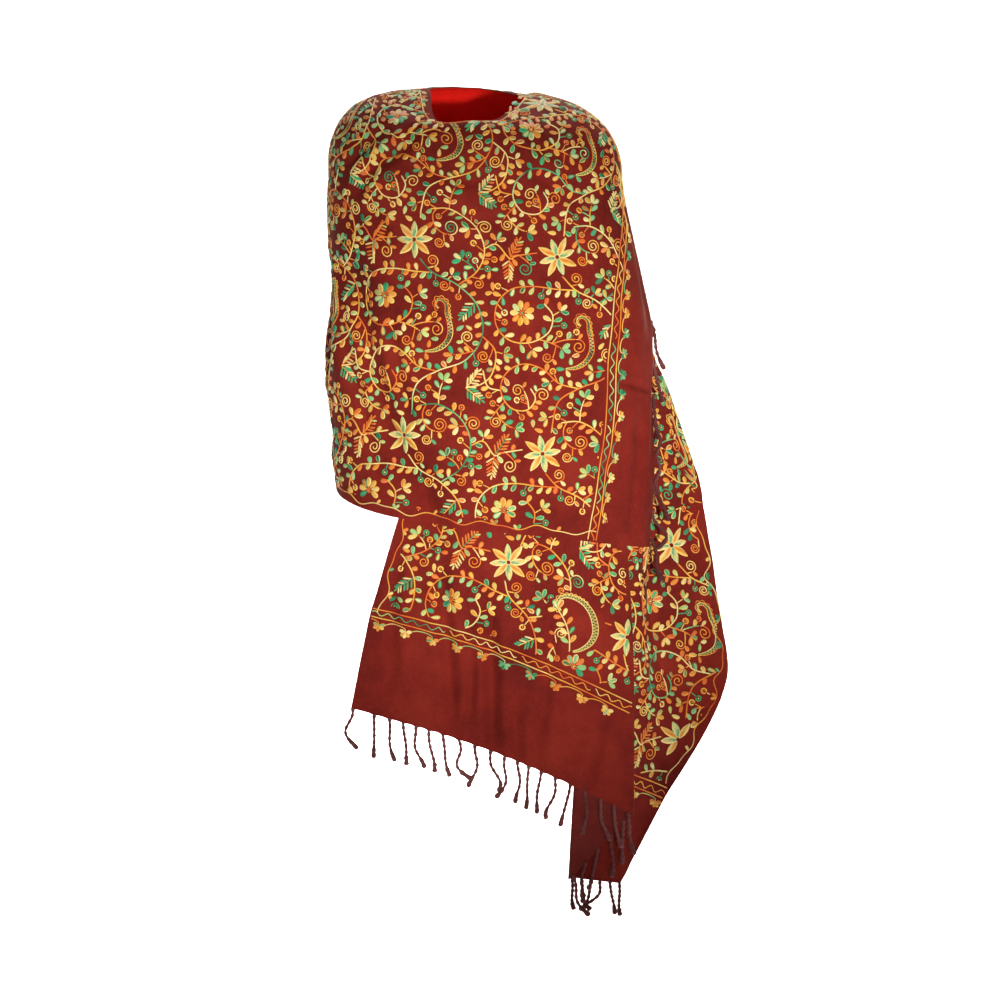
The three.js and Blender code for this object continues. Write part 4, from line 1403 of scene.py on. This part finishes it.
def lay(work, allowed, origin):
    """Copies the repeat over a sheet's chart, where allowed(places) is true."""
    sheet = work.sheet
    a_ends, b_ends = (sheet.a.min(), sheet.a.max()), (sheet.b.min(), sheet.b.max())

    def on_chart(x, y):
        return (x > a_ends[0]) & (x < a_ends[1]) & (-y > b_ends[0]) & (-y < b_ends[1])

    corners = np.array([(a, -b) for a in a_ends for b in b_ends])
    cells = (corners - origin) @ TO_CELL
    low, high = np.floor(cells.min(0)).astype(int) - 1, np.ceil(cells.max(0)).astype(int) + 1
    spots = np.array([(x, y) for x, y, *_ in repeat.petals])
    values = np.array([p[2:] for p in repeat.petals])
    steps = [1.9 if len(points) > 30 and width < 2 else 2.5 for points, width, _ in repeat.lines]
    lines = [resample(points, step) for (points, _, _), step in zip(repeat.lines, steps)]
    joined_lines = np.concatenate(lines)
    sizes = [len(line) for line in lines]
    ends = np.cumsum(sizes)[:-1]
    line_groups, petal_groups = np.array(repeat.line_groups), np.array(repeat.petal_groups)
    for i in range(low[0], high[0] + 1):
        for j in range(low[1], high[1] + 1):
            cell = origin + i * ACROSS + j * DOWN
            x, y = (joined_lines + cell).T
            near = on_chart(x, y)
            if not near.any():
                continue
            places, found = sheet.find(np.stack([x, -y], -1))
            fine = found & near & allowed(places)
            x, y = (spots + cell).T
            roots, found = sheet.find(np.stack([x, -y], -1))
            tips = sheet.step(roots, toward(values[:, 0]) * values[:, 1, None])
            petals_fine = found & on_chart(x, y) & allowed(roots) & allowed(tips)
            group_of = np.repeat(line_groups, sizes)
            broken = [g for g in range(1, line_groups.max() + 1) if fine[group_of == g].mean() < WHOLE_ENOUGH]
            phases, greens = rng.random(len(lines)), rng.random(len(lines)) < 0.12
            for k, (at, ok) in enumerate(zip(np.split(places, ends), np.split(fine, ends))):
                _, width, tone = repeat.lines[k]
                if line_groups[k] in broken:
                    continue
                length = np.arange(len(at)) * DYE_STEP
                tones = drift(length, tone, phases[k] if tone < 0.2 else 0, greens[k] & (tone < 0.2))
                edges = np.flatnonzero(np.diff(np.concatenate([[False], ok, [False]]).astype(int)))
                for start, stop in zip(edges[::2], edges[1::2]):
                    work.line(at[start:stop], width, tones[start:stop])
            fine = petals_fine & ~np.isin(petal_groups, broken)
            if fine.any():
                picked = values[fine].copy()
                leaf = picked[:, 3] == 0
                picked[:, 4] += np.where(leaf, rng.choice([0, 0, 0.12, -0.1, 0.3, 0.62], len(picked)), 0)
                work.petal(roots[fine], picked)


rows_of_seam = np.linspace(0, 1, 200)
seam_turn_at = curve(FRONT_END["seam_drop"](rows_of_seam), FRONT_END["seam_turn"](rows_of_seam))
end_turn_at = curve(FRONT_END["end_drop"](rows_of_seam), FRONT_END["end_turn"](rows_of_seam))


def uv_of(sheet, places):
    """A sheet's own two coordinates at places."""
    u = np.interp(places[..., 0], np.arange(len(sheet.us)), sheet.us)
    return u, np.interp(places[..., 1], np.arange(len(sheet.vs)), sheet.vs)


def mantle_field(places):
    """The embroidered part of the mantle: off its rim, its hem and the front end's border."""
    turn, drop = uv_of(mantle, places)
    seam = mantle.look(mantle.a, mantle.at(seam_turn_at(drop), drop))
    below_rim = mantle.look(mantle.from_top, places) > RIM_MARGIN
    above_hem = mantle.look(mantle.from_bottom, places) > HEM_MARGIN
    off_border = mantle.look(mantle.a, places) < seam - HEM_MARGIN
    front_side = (drop >= 1) | (turn > SHOULDER_LINE + 1)
    return below_rim & above_hem & off_border & front_side & (places[..., 0] > 0.3)


def yoke_field(places):
    """The shoulder behind the shoulder line, whose chart is measured from the nape."""
    turn, drop = uv_of(yoke, places)
    behind = (drop < 1) & (turn < SHOULDER_LINE - 1) & (places[..., 0] > 0.3)
    return behind & (yoke.look(yoke.from_top, places) > RIM_MARGIN)


def fall_field(places):
    """The visible part of the fall: beyond the front end's free edge."""
    turn, drop = uv_of(fall, places)
    margin = np.where(turn > OUTER_EDGE_TURN, 20, 0.5)
    seen = turn > np.where(drop > 0.62, end_turn_at(drop), 142) - 12
    return seen & (fall.look(fall.from_bottom, places) > margin) & (places[..., 0] < len(fall_turns) - 1.3)


def above_border(sheet, places):
    """Length along the cloth from places down to the end border."""
    border = np.broadcast_to(sheet.from_top[BORDER_ROW : BORDER_ROW + 1], sheet.from_top.shape)
    return sheet.look(border - sheet.from_top, places)


def hanging_field(places):
    """The hanging front down to its border, and off its left edge."""
    share, _ = uv_of(hanging, places)
    off_edge = (hanging.look(hanging.from_left, places) > BORDER_MARGIN) & (share < 0.992)
    return off_edge & (above_border(hanging, places) > BORDER_MARGIN)


def side_field(places):
    """The side fall down to its border, and off its free edge."""
    _, v = uv_of(side, places)
    seen = side.look(side.point, places)[..., 0] > HANGING["fold_x"](v) - 14
    off_edge = side.look(side.from_right, places) > BORDER_MARGIN
    return seen & off_edge & (above_border(side, places) > BORDER_MARGIN)


sheets = {"mantle": mantle, "yoke": yoke, "fall": fall, "hanging": hanging, "side": side}
works = {name: Needlework(sheet) for name, sheet in sheets.items()}
STAR_AT = np.array([-96.0, -203.0])
lay(works["mantle"], mantle_field, STAR_AT)
lay(works["yoke"], yoke_field, STAR_AT)
lay(works["fall"], fall_field, STAR_AT)
lay(works["side"], side_field, STAR_AT)
HANGING_STAR = np.array([24.0, 131.0])
CRESCENT_MIDDLE, CRESCENT_REACH = HANGING_STAR + (122, -44), 47.0


def round_crescent(places):
    """The hanging front's field without the round patch where its crescent goes."""
    a, b = hanging.look(hanging.a, places), hanging.look(hanging.b, places)
    away = np.hypot(a - CRESCENT_MIDDLE[0], -b - CRESCENT_MIDDLE[1])
    return hanging_field(places) & (away > CRESCENT_REACH)


lay(works["hanging"], round_crescent, HANGING_STAR)
crescent_line = [(98, -36), (89, -29), (90, -16), (104, -8), (126, -9)]
crescent_line += [(145, -21), (156, -41), (156, -61), (148, -77), (138, -86)]
inner_stem = bend_line((134, -88), 1.9, 66, 0.01)
crescent = [hook(crescent_line, 9), Motif(inner_stem[0]), tendril((112, -84), 2.2, 14, 9, -1)]
crescent[1].line(inner_stem, 2.1, 0.05)
for share in (0.2, 0.42, 0.64, 0.84):
    i = int(share * (len(inner_stem) - 1))
    crescent.append(leaf_pair(inner_stem[i], heading_of(inner_stem[i + 1] - inner_stem[i])))
crescent.append(trefoil(inner_stem[-1], 2.5, 2))
for motif in crescent:
    for points, width, tone in motif.lines:
        spots = resample(points, 2.2) + HANGING_STAR
        places, _ = hanging.find(spots * (1, -1))
        works["hanging"].line(places, width, np.full(len(places), tone))
    for petal in motif.petals:
        places, _ = hanging.find((np.array([petal[:2]]) + HANGING_STAR) * (1, -1))
        works["hanging"].petal(places, np.array([petal[2:]]))
for name, work in works.items():
    print(name, len(work.lines), "lines,", sum(len(p) for p in work.petals), "petals")

# %% [markdown]
# ## Borders along the edges
#
# Each end of the field has a border of two straight lines with a wave between them, and on the plain side a
# row of small five-lobed flowers on scalloped stems. Along the selvedges runs a single meandering line with
# one or two small leaves now and then. A border is drawn in two numbers as well: the length along an edge,
# and the distance off it.

# %% Border drawing
STITCH_STEP, WAVE_STRETCH = 2.4, 118


class Run:
    """A path on a sheet, with its length in millimetres and offsets towards its left."""

    def __init__(self, work, places):
        self.work, self.sheet, self.places = work, work.sheet, places
        points = self.sheet.look(self.sheet.point, places)
        self.s = lengths_along(points)
        self.length = self.s[-1]
        right = unit(self.sheet.look(self.sheet.right, places))
        up = np.cross(self.sheet.look(self.sheet.normal, places), right)
        ahead = unit(np.gradient(points, axis=0))
        self.heading = np.unwrap(np.arctan2((ahead * up).sum(-1), (ahead * right).sum(-1)))

    def at(self, s, d):
        """Places at lengths s along the path and distances d to its left."""
        s, d = np.broadcast_arrays(np.asarray(s, float), d)
        on = np.stack([np.interp(s, self.s, self.places[:, k]) for k in (0, 1)], -1)
        heading = np.interp(s, self.s, self.heading)
        return self.sheet.step(on, np.stack([-np.sin(heading), np.cos(heading)], -1) * d[..., None])

    def line(self, sd, width, tone, phase=0.0):
        """A stitched line through (s, d) points."""
        sd = resample(np.asarray(sd, float), STITCH_STEP)
        self.work.line(self.at(*sd.T), width, drift(sd[:, 0], tone, phase, False))

    def petal(self, s, d, angle, length, width, style, tone):
        """One petal; its angle is measured from the path's heading."""
        heading = float(np.interp(s, self.s, self.heading))
        self.work.petal(self.at(s, d), np.array([heading + angle, length, width, style, tone]))


def end_border(run, field, pitch=29.5, size=1.0):
    """Two lines, a wave between them, and a row of flowers. field is +1 or -1, the field's side of the
    path."""
    s = np.arange(0, run.length, STITCH_STEP)
    run.line(np.stack([s, 0 * s], -1), 1.9, 0.08, phase=0.1)
    run.line(np.stack([s, field * (13 + 0.6 * np.sin(s / 60))], -1), 1.9, 0.05, phase=0.5)
    phase = 0.0
    for first in np.arange(0, run.length, WAVE_STRETCH):
        part = s[(s >= first) & (s < first + WAVE_STRETCH - 2)]
        wave = 6.6 + 3.0 * np.sin(2 * np.pi * part / 19.5)
        if len(part) > 3:
            run.line(np.stack([part, field * wave], -1), 1.7, rng.choice([0.0, 0.06, 0.62]), phase=phase)
        phase += 0.3
    for middle in np.arange(16, run.length - 6, pitch):
        middle += rng.uniform(-1.5, 1.5)
        tone = rng.choice([0.02, 0.12, 0.3, 0.4, 0.7, 0.78])
        bends = [(-0.88 * pitch, 9.5), (-0.62 * pitch, 4.6), (-0.3 * pitch, 3.4), (-2, 5.2), (0, 10)]
        stem = smooth_line([(middle + s, d) for s, d in bends])
        stem[:, 1] *= -field
        run.line(stem[stem[:, 0] > 0.5], 1.5, tone)
        for k, turn in enumerate((-96, -50, 0, 50, 96)):
            angle = -field * (np.pi / 2 + np.radians(turn + rng.normal(0, 5)))
            run.petal(middle, -field * 9.6, angle, 8.0 * size, 4.9 * size, 0, tone + (0.12 if k % 2 else 0))


def meander(run, field, inset=10.0, reach=3.4):
    """A slow, uneven wave along a selvedge, with small leaves now and then on its field side."""
    s = np.arange(0, run.length, STITCH_STEP)
    phase = rng.uniform(0, 6)

    def wave(s):
        slow, quick = np.sin(2 * np.pi * s / 78 + phase), np.sin(2 * np.pi * s / 41 + 2 * phase)
        return inset + reach * (slow + 0.45 * quick)

    run.line(np.stack([s, field * wave(s)], -1), 1.7, 0.03, phase=rng.random())
    middle = 20
    while middle < run.length - 10:
        tone = leaf_tone()
        for turn in rng.choice([-1, 1]) * np.array([38, -30])[: rng.choice([1, 2])]:
            angle = field * (np.pi / 2) + np.radians(turn)
            run.petal(middle, field * wave(middle), angle, 8.6, 5.0, 0, tone + rng.choice([0, 0.1]))
        middle += rng.uniform(30, 64)


def edge_run(work, u, v):
    """A path along a sheet's own coordinates."""
    return Run(work, work.sheet.at(u, v))


steps = np.linspace(0.002, 0.998, 300)
seam_run = edge_run(works["mantle"], FRONT_END["seam_turn"](steps), FRONT_END["seam_drop"](steps))
end_border(seam_run, -1)
hem_turns = np.linspace(SEAM_TURN + 0.5, FRONT_END["seam_turn"](0.99), 500)
meander(edge_run(works["mantle"], hem_turns, 1.998), 1)
meander(edge_run(works["fall"], np.linspace(OUTER_EDGE_TURN, FALL_TURN - 0.5, 80), 1.998), 1)
WIDE_PITCH, LARGER = 41, 1.15
end_border(edge_run(works["hanging"], np.linspace(0.004, 0.996, 200), BORDER_V), 1, WIDE_PITCH, LARGER)
meander(edge_run(works["hanging"], 0.004, np.linspace(0.02, 0.62, 160)), 1)
end_border(edge_run(works["side"], np.linspace(0.3, 0.985, 120), BORDER_V), 1, WIDE_PITCH, LARGER)
meander(edge_run(works["side"], 0.996, np.linspace(0.01, 0.62, 160)), -1)
neck_turns = np.linspace(-84, 84, 260)
neck_run = edge_run(works["mantle"], neck_turns, 0.03)
s = np.arange(0, neck_run.length, STITCH_STEP)
neck_run.line(np.stack([s, -4.5 + 0 * s], -1), 2.1, 0.0)
print("front border:", round(seam_run.length), "mm long")


def parted(work, names, limits):
    """One sheet's needlework shared out by turn, so that no piece grows too heavy."""
    parts = [Needlework(work.sheet) for _ in names]
    for places, width, tones in work.lines:
        turn = uv_of(work.sheet, places)[0].mean()
        parts[int(np.searchsorted(limits, turn))].line(places, width, tones)
    petals = np.concatenate(work.petals)
    part_of = np.searchsorted(limits, uv_of(work.sheet, petals[:, :2])[0])
    for k, part in enumerate(parts):
        part.petals.append(petals[part_of == k])
    return dict(zip(names, parts))


works = {**parted(works.pop("mantle"), ("back", "arm", "chest", "front"), (-122, -62, 0)), **works}
embroidery = {name: work.make(name + "_needlework") for name, work in works.items()}

# %% [markdown]
# ## The fringe
#
# The end threads of a stole are twisted in pairs into two-ply cords of about 65 mm, each with a knot and a
# short brush. A cord is a tube whose section has two lobes that turn as it goes down:
# radius * (1 + 0.24 cos 2(angle - twist)). Its middle line starts in the cloth's edge and hangs, with a lean
# and a wave of its own. The upper cords of the front end lie on the cloth under them.

# %% Twisted tassels
TASSEL, CORD, TWIST_LENGTH = 64.0, 50, 9.0
LEAN_REACH, WAVE_REACH, ROOT_INSIDE = 14, 5.5, 2.5
END_TASSELS, CORD_LIFT = 20, 3.4
AROUND = np.linspace(0, 2 * np.pi, 9)[:-1]
TASSEL_AT = np.concatenate([np.linspace(0, CORD, 24), np.linspace(51.5, TASSEL, 8)])
TASSEL_STOPS = [(0, 2), (3, 2.7), (8, 2.4), (49, 2.3), (51.5, 3.5)]
TASSEL_STOPS += [(53.5, 3.9), (55.5, 2.8), (58, 3.6), (62, 4), (64, 2)]
TASSEL_RADIUS = np.interp(TASSEL_AT, *zip(*TASSEL_STOPS))


def tassel_path(root, lean, wave, phase, size=1.0):
    """Middle line below a root: down, with a sideways lean and a wave that grows from the root."""
    t = TASSEL_AT / TASSEL
    sideways = lean * LEAN_REACH * t**1.3 + wave * WAVE_REACH * t * np.sin(2 * np.pi * t * 0.9 + phase)
    down = TASSEL_AT * (1 - 0.03 * abs(lean) - 0.02 * abs(wave)) * size
    return root + np.stack([sideways, 0 * t, ROOT_INSIDE - down], -1)


def tassel_mesh(paths, turns):
    """Closed twisted tubes round the paths (tassel, station, 3)."""
    ahead = unit(np.gradient(paths, axis=1))
    side = unit(np.cross(ahead, np.array([0.0, 1.0, 0.0])))
    back = np.cross(side, ahead)
    angle = AROUND[None, None, :]
    twist = (TASSEL_AT / TWIST_LENGTH)[None, :, None] * np.pi + turns[:, None, None]
    lobes = 1 + np.where(TASSEL_AT < CORD, 0.24, 0.1)[None, :, None] * np.cos(2 * (angle - twist))
    radius = TASSEL_RADIUS[None, :, None] * lobes
    x, y = np.cos(angle) * radius, np.sin(angle) * radius
    ring = side[:, :, None] * x[..., None] + back[:, :, None] * y[..., None]
    points = paths[:, :, None] + ring
    count, stations, sides = points.shape[:3]
    at = np.arange(count * stations * sides).reshape(count, stations, sides)
    following = np.roll(at, -1, axis=2)
    walls = np.stack([at[:, :-1], following[:, :-1], following[:, 1:], at[:, 1:]], -1).reshape(-1, 4)
    caps = []
    for ring_of, order in ((at[:, 0], 1), (at[:, -1], -1)):
        ring_of = ring_of[:, ::order]
        caps += [ring_of[:, [0, 3, 2, 1]], ring_of[:, [0, 5, 4, 3]], ring_of[:, [0, 7, 6, 5]]]
    return points.reshape(-1, 3), np.concatenate([walls, *caps])


def fringe(name, paths, node):
    """All tassels of one edge as one object."""
    points, quads = tassel_mesh(paths, rng.uniform(0, np.pi, len(paths)))
    obj = mesh_object(name, points, quads, [FRINGE])
    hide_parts(node)
    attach(obj, "root")
    return obj


def edge_roots(sheet_point, shares):
    """Points along the last row of a grid, at shares of its length."""
    row = sheet_point[-1]
    length = lengths_along(row)
    return np.stack([np.interp(np.asarray(shares) * length[-1], length, row[:, k]) for k in range(3)], -1)


def hung(roots, size=1.0):
    """Paths of tassels that hang free from roots."""
    paths = []
    for root in roots:
        lean, wave, phase = rng.normal(0, 0.62), rng.normal(0, 1.25), rng.uniform(0, 6)
        paths.append(tassel_path(root, lean, wave, phase, size))
    return np.stack(paths)


front_row, last_row = hang_point[:, :FRONT_COLUMNS], hang_point[:, LAST_FROM:]
back_row = hang_point[:, FRONT_COLUMNS + TURN_COLUMNS : LAST_FROM - TURN_COLUMNS]
fringes = {
    "hanging_fringe": hung(edge_roots(front_row, tassel_shares)),
    "pleat_fringe": hung(edge_roots(back_row, np.linspace(0.12, 0.97, 5))),
    "side_fringe": hung(edge_roots(last_row, np.linspace(0.04, 0.98, 6)), 0.78),
}
end_rows = np.linspace(0.03, 0.985, END_TASSELS) + rng.uniform(-0.008, 0.008, END_TASSELS)
roots = mantle.at(FRONT_END["end_turn"](end_rows), FRONT_END["end_drop"](end_rows))
paths = []
for place_of_root, row in zip(roots, end_rows):
    start = mantle.look(mantle.point, place_of_root)
    under = fall.at(FRONT_END["end_turn"](row) + 1.5, FRONT_END["end_drop"](row))
    lean, wave, phase = rng.uniform(0.12, 0.72), rng.normal(0, 1.1), rng.uniform(0, 6)
    t = TASSEL_AT / TASSEL
    offset = np.stack([lean * 26 * t + wave * 3 * t * np.sin(5.5 * t + phase), -TASSEL_AT], -1)
    spots = fall.step(np.repeat(under[None], len(t), 0), offset)
    lying = fall.look(fall.point, spots) + unit(fall.look(fall.normal, spots)) * (FACE + CORD_LIFT)
    shift = start - lying[0]
    lying = lying + shift * smoothstep(1, 0, t / 0.3)[:, None]
    free = tassel_path(start + (2.0, -2.0, 0), 0.3 + 1.5 * lean, 1.3 * wave, phase)
    paths.append(mix(lying, free, smoothstep(0.52, 0.64, row)))
fringes["front_end_fringe"] = np.stack(paths)
tassels = {name: fringe(name.replace("fringe", "tassels"), paths, name) for name, paths in fringes.items()}
print("tassels:", {name: len(paths) for name, paths in fringes.items()})

# %% [markdown]
# ## What each sheet was cut to
#
# The whole stole is one oblong of 0.71 by about 2.1 m before its fringe. The wrap is the length that shows
# outermost and the fall is the rest.

# %% [markdown]
# ## Floor, light and camera
#
# A near-white sweep of floor and wall stands far behind, with a broad light for each. One round light with
# a soft beam comes from the front and low, so the chest below the folds is brightest and the shoulders fall
# off. A weak broad light fills the front. Round it all is a pale studio, dim enough not to flatten the
# folds. The camera is almost level, far away and with a long lens, so nothing is foreshortened.

# %% Stage, light and camera
def sweep(width=44.0, depth=30.0, height=9.0, floor=-1.36, bend=2.0, start=6.6):
    """A floor that bends up into a wall far behind, from one profile."""
    turns = np.linspace(0, np.pi / 2, 13)
    profile = [(-depth, floor)]
    profile += [(start + bend * np.sin(t), floor + bend * (1 - np.cos(t))) for t in turns]
    profile += [(start + bend, floor + height)]
    y, z = np.array(profile).T
    points = np.stack([[(x, b, c) for x in (-width / 2, width / 2)] for b, c in zip(y, z)]) / MM
    return mesh_object("floor", points.reshape(-1, 3), grid_quads(len(profile), 2), [PALE])


PALE, pale_shader = material("pale floor", 0.9)
pale_shader.inputs["Base Color"].default_value = (0.86, 0.86, 0.855, 1)
floor = sweep()


def place_light(name, kind, at, aim, power, colour=(1, 1, 1)):
    """A light of a kind at a place, turned to a point."""
    data = bpy.data.lights.new(name, kind)
    data.energy, data.color = power, colour
    light = bpy.data.objects.new(name, data)
    light.location = at
    from_to = np.array(aim, float) - np.array(at, float)
    yaw = math.atan2(from_to[1], from_to[0])
    pitch = math.atan2(-from_to[2], math.hypot(from_to[0], from_to[1]))
    light.rotation_euler = (math.pi / 2 - pitch, 0, yaw - math.pi / 2)
    bpy.context.scene.collection.objects.link(light)
    return data


def area_light(name, at, aim, size, power, spread=180):
    """A square soft light, with its spread in degrees."""
    data = place_light(name, "AREA", at, aim, power)
    data.size, data.spread = size, math.radians(spread)


def spot_light(name, at, aim, cone, radius, power, colour):
    """A soft round light whose beam fades smoothly to the edge of its cone."""
    data = place_light(name, "SPOT", at, aim, power, colour)
    data.shadow_soft_size, data.spot_size, data.spot_blend = radius, math.radians(cone), 1.0


spot_light("key light", (1.6, -6.1, -1.2), (0.04, 0, -0.49), 12.4, 0.25, 2150, (1, 0.97, 0.92))
area_light("front light", (0.5, -7.2, -0.5), (0.05, 0, -0.6), 1.6, 12)
area_light("wall light", (0, 3.6, 2.8), (0, 8.6, -0.6), 3.0, 420)
area_light("floor light", (0, 4.8, 4.4), (0, 4.2, -1.36), 5.0, 620, 80)
world = bpy.data.worlds.new("studio")
world.use_nodes = True
STUDIO_SEEN, STUDIO_LIGHT = 0.85, 0.075
seen = add(world, "ShaderNodeLightPath").outputs["Is Camera Ray"]
strength = add(world, "ShaderNodeMath", {"operation": "MULTIPLY_ADD"})
world.node_tree.links.new(seen, strength.inputs[0])
strength.inputs[1].default_value = STUDIO_SEEN - STUDIO_LIGHT
strength.inputs[2].default_value = STUDIO_LIGHT
background = world.node_tree.nodes["Background"]
background.inputs["Color"].default_value = (1, 1, 1, 1)
world.node_tree.links.new(strength.outputs[0], background.inputs["Strength"])
bpy.context.scene.world = world

camera_data = bpy.data.cameras.new("camera")
LENS, SENSOR = 148.9, 36
camera_data.lens, camera_data.sensor_width = LENS, SENSOR
camera = bpy.data.objects.new("camera", camera_data)
CAMERA_AWAY, AIM_BELOW = 6.0, 0.28
camera.location = (0.039, -CAMERA_AWAY, -0.30)
camera.rotation_euler = (math.pi / 2 - math.atan2(AIM_BELOW, CAMERA_AWAY), 0, 0)
bpy.context.scene.collection.objects.link(camera)
bpy.context.scene.camera = camera
bpy.context.scene.view_settings.view_transform = "Standard"
print("camera at", tuple(round(v, 3) for v in camera.location))
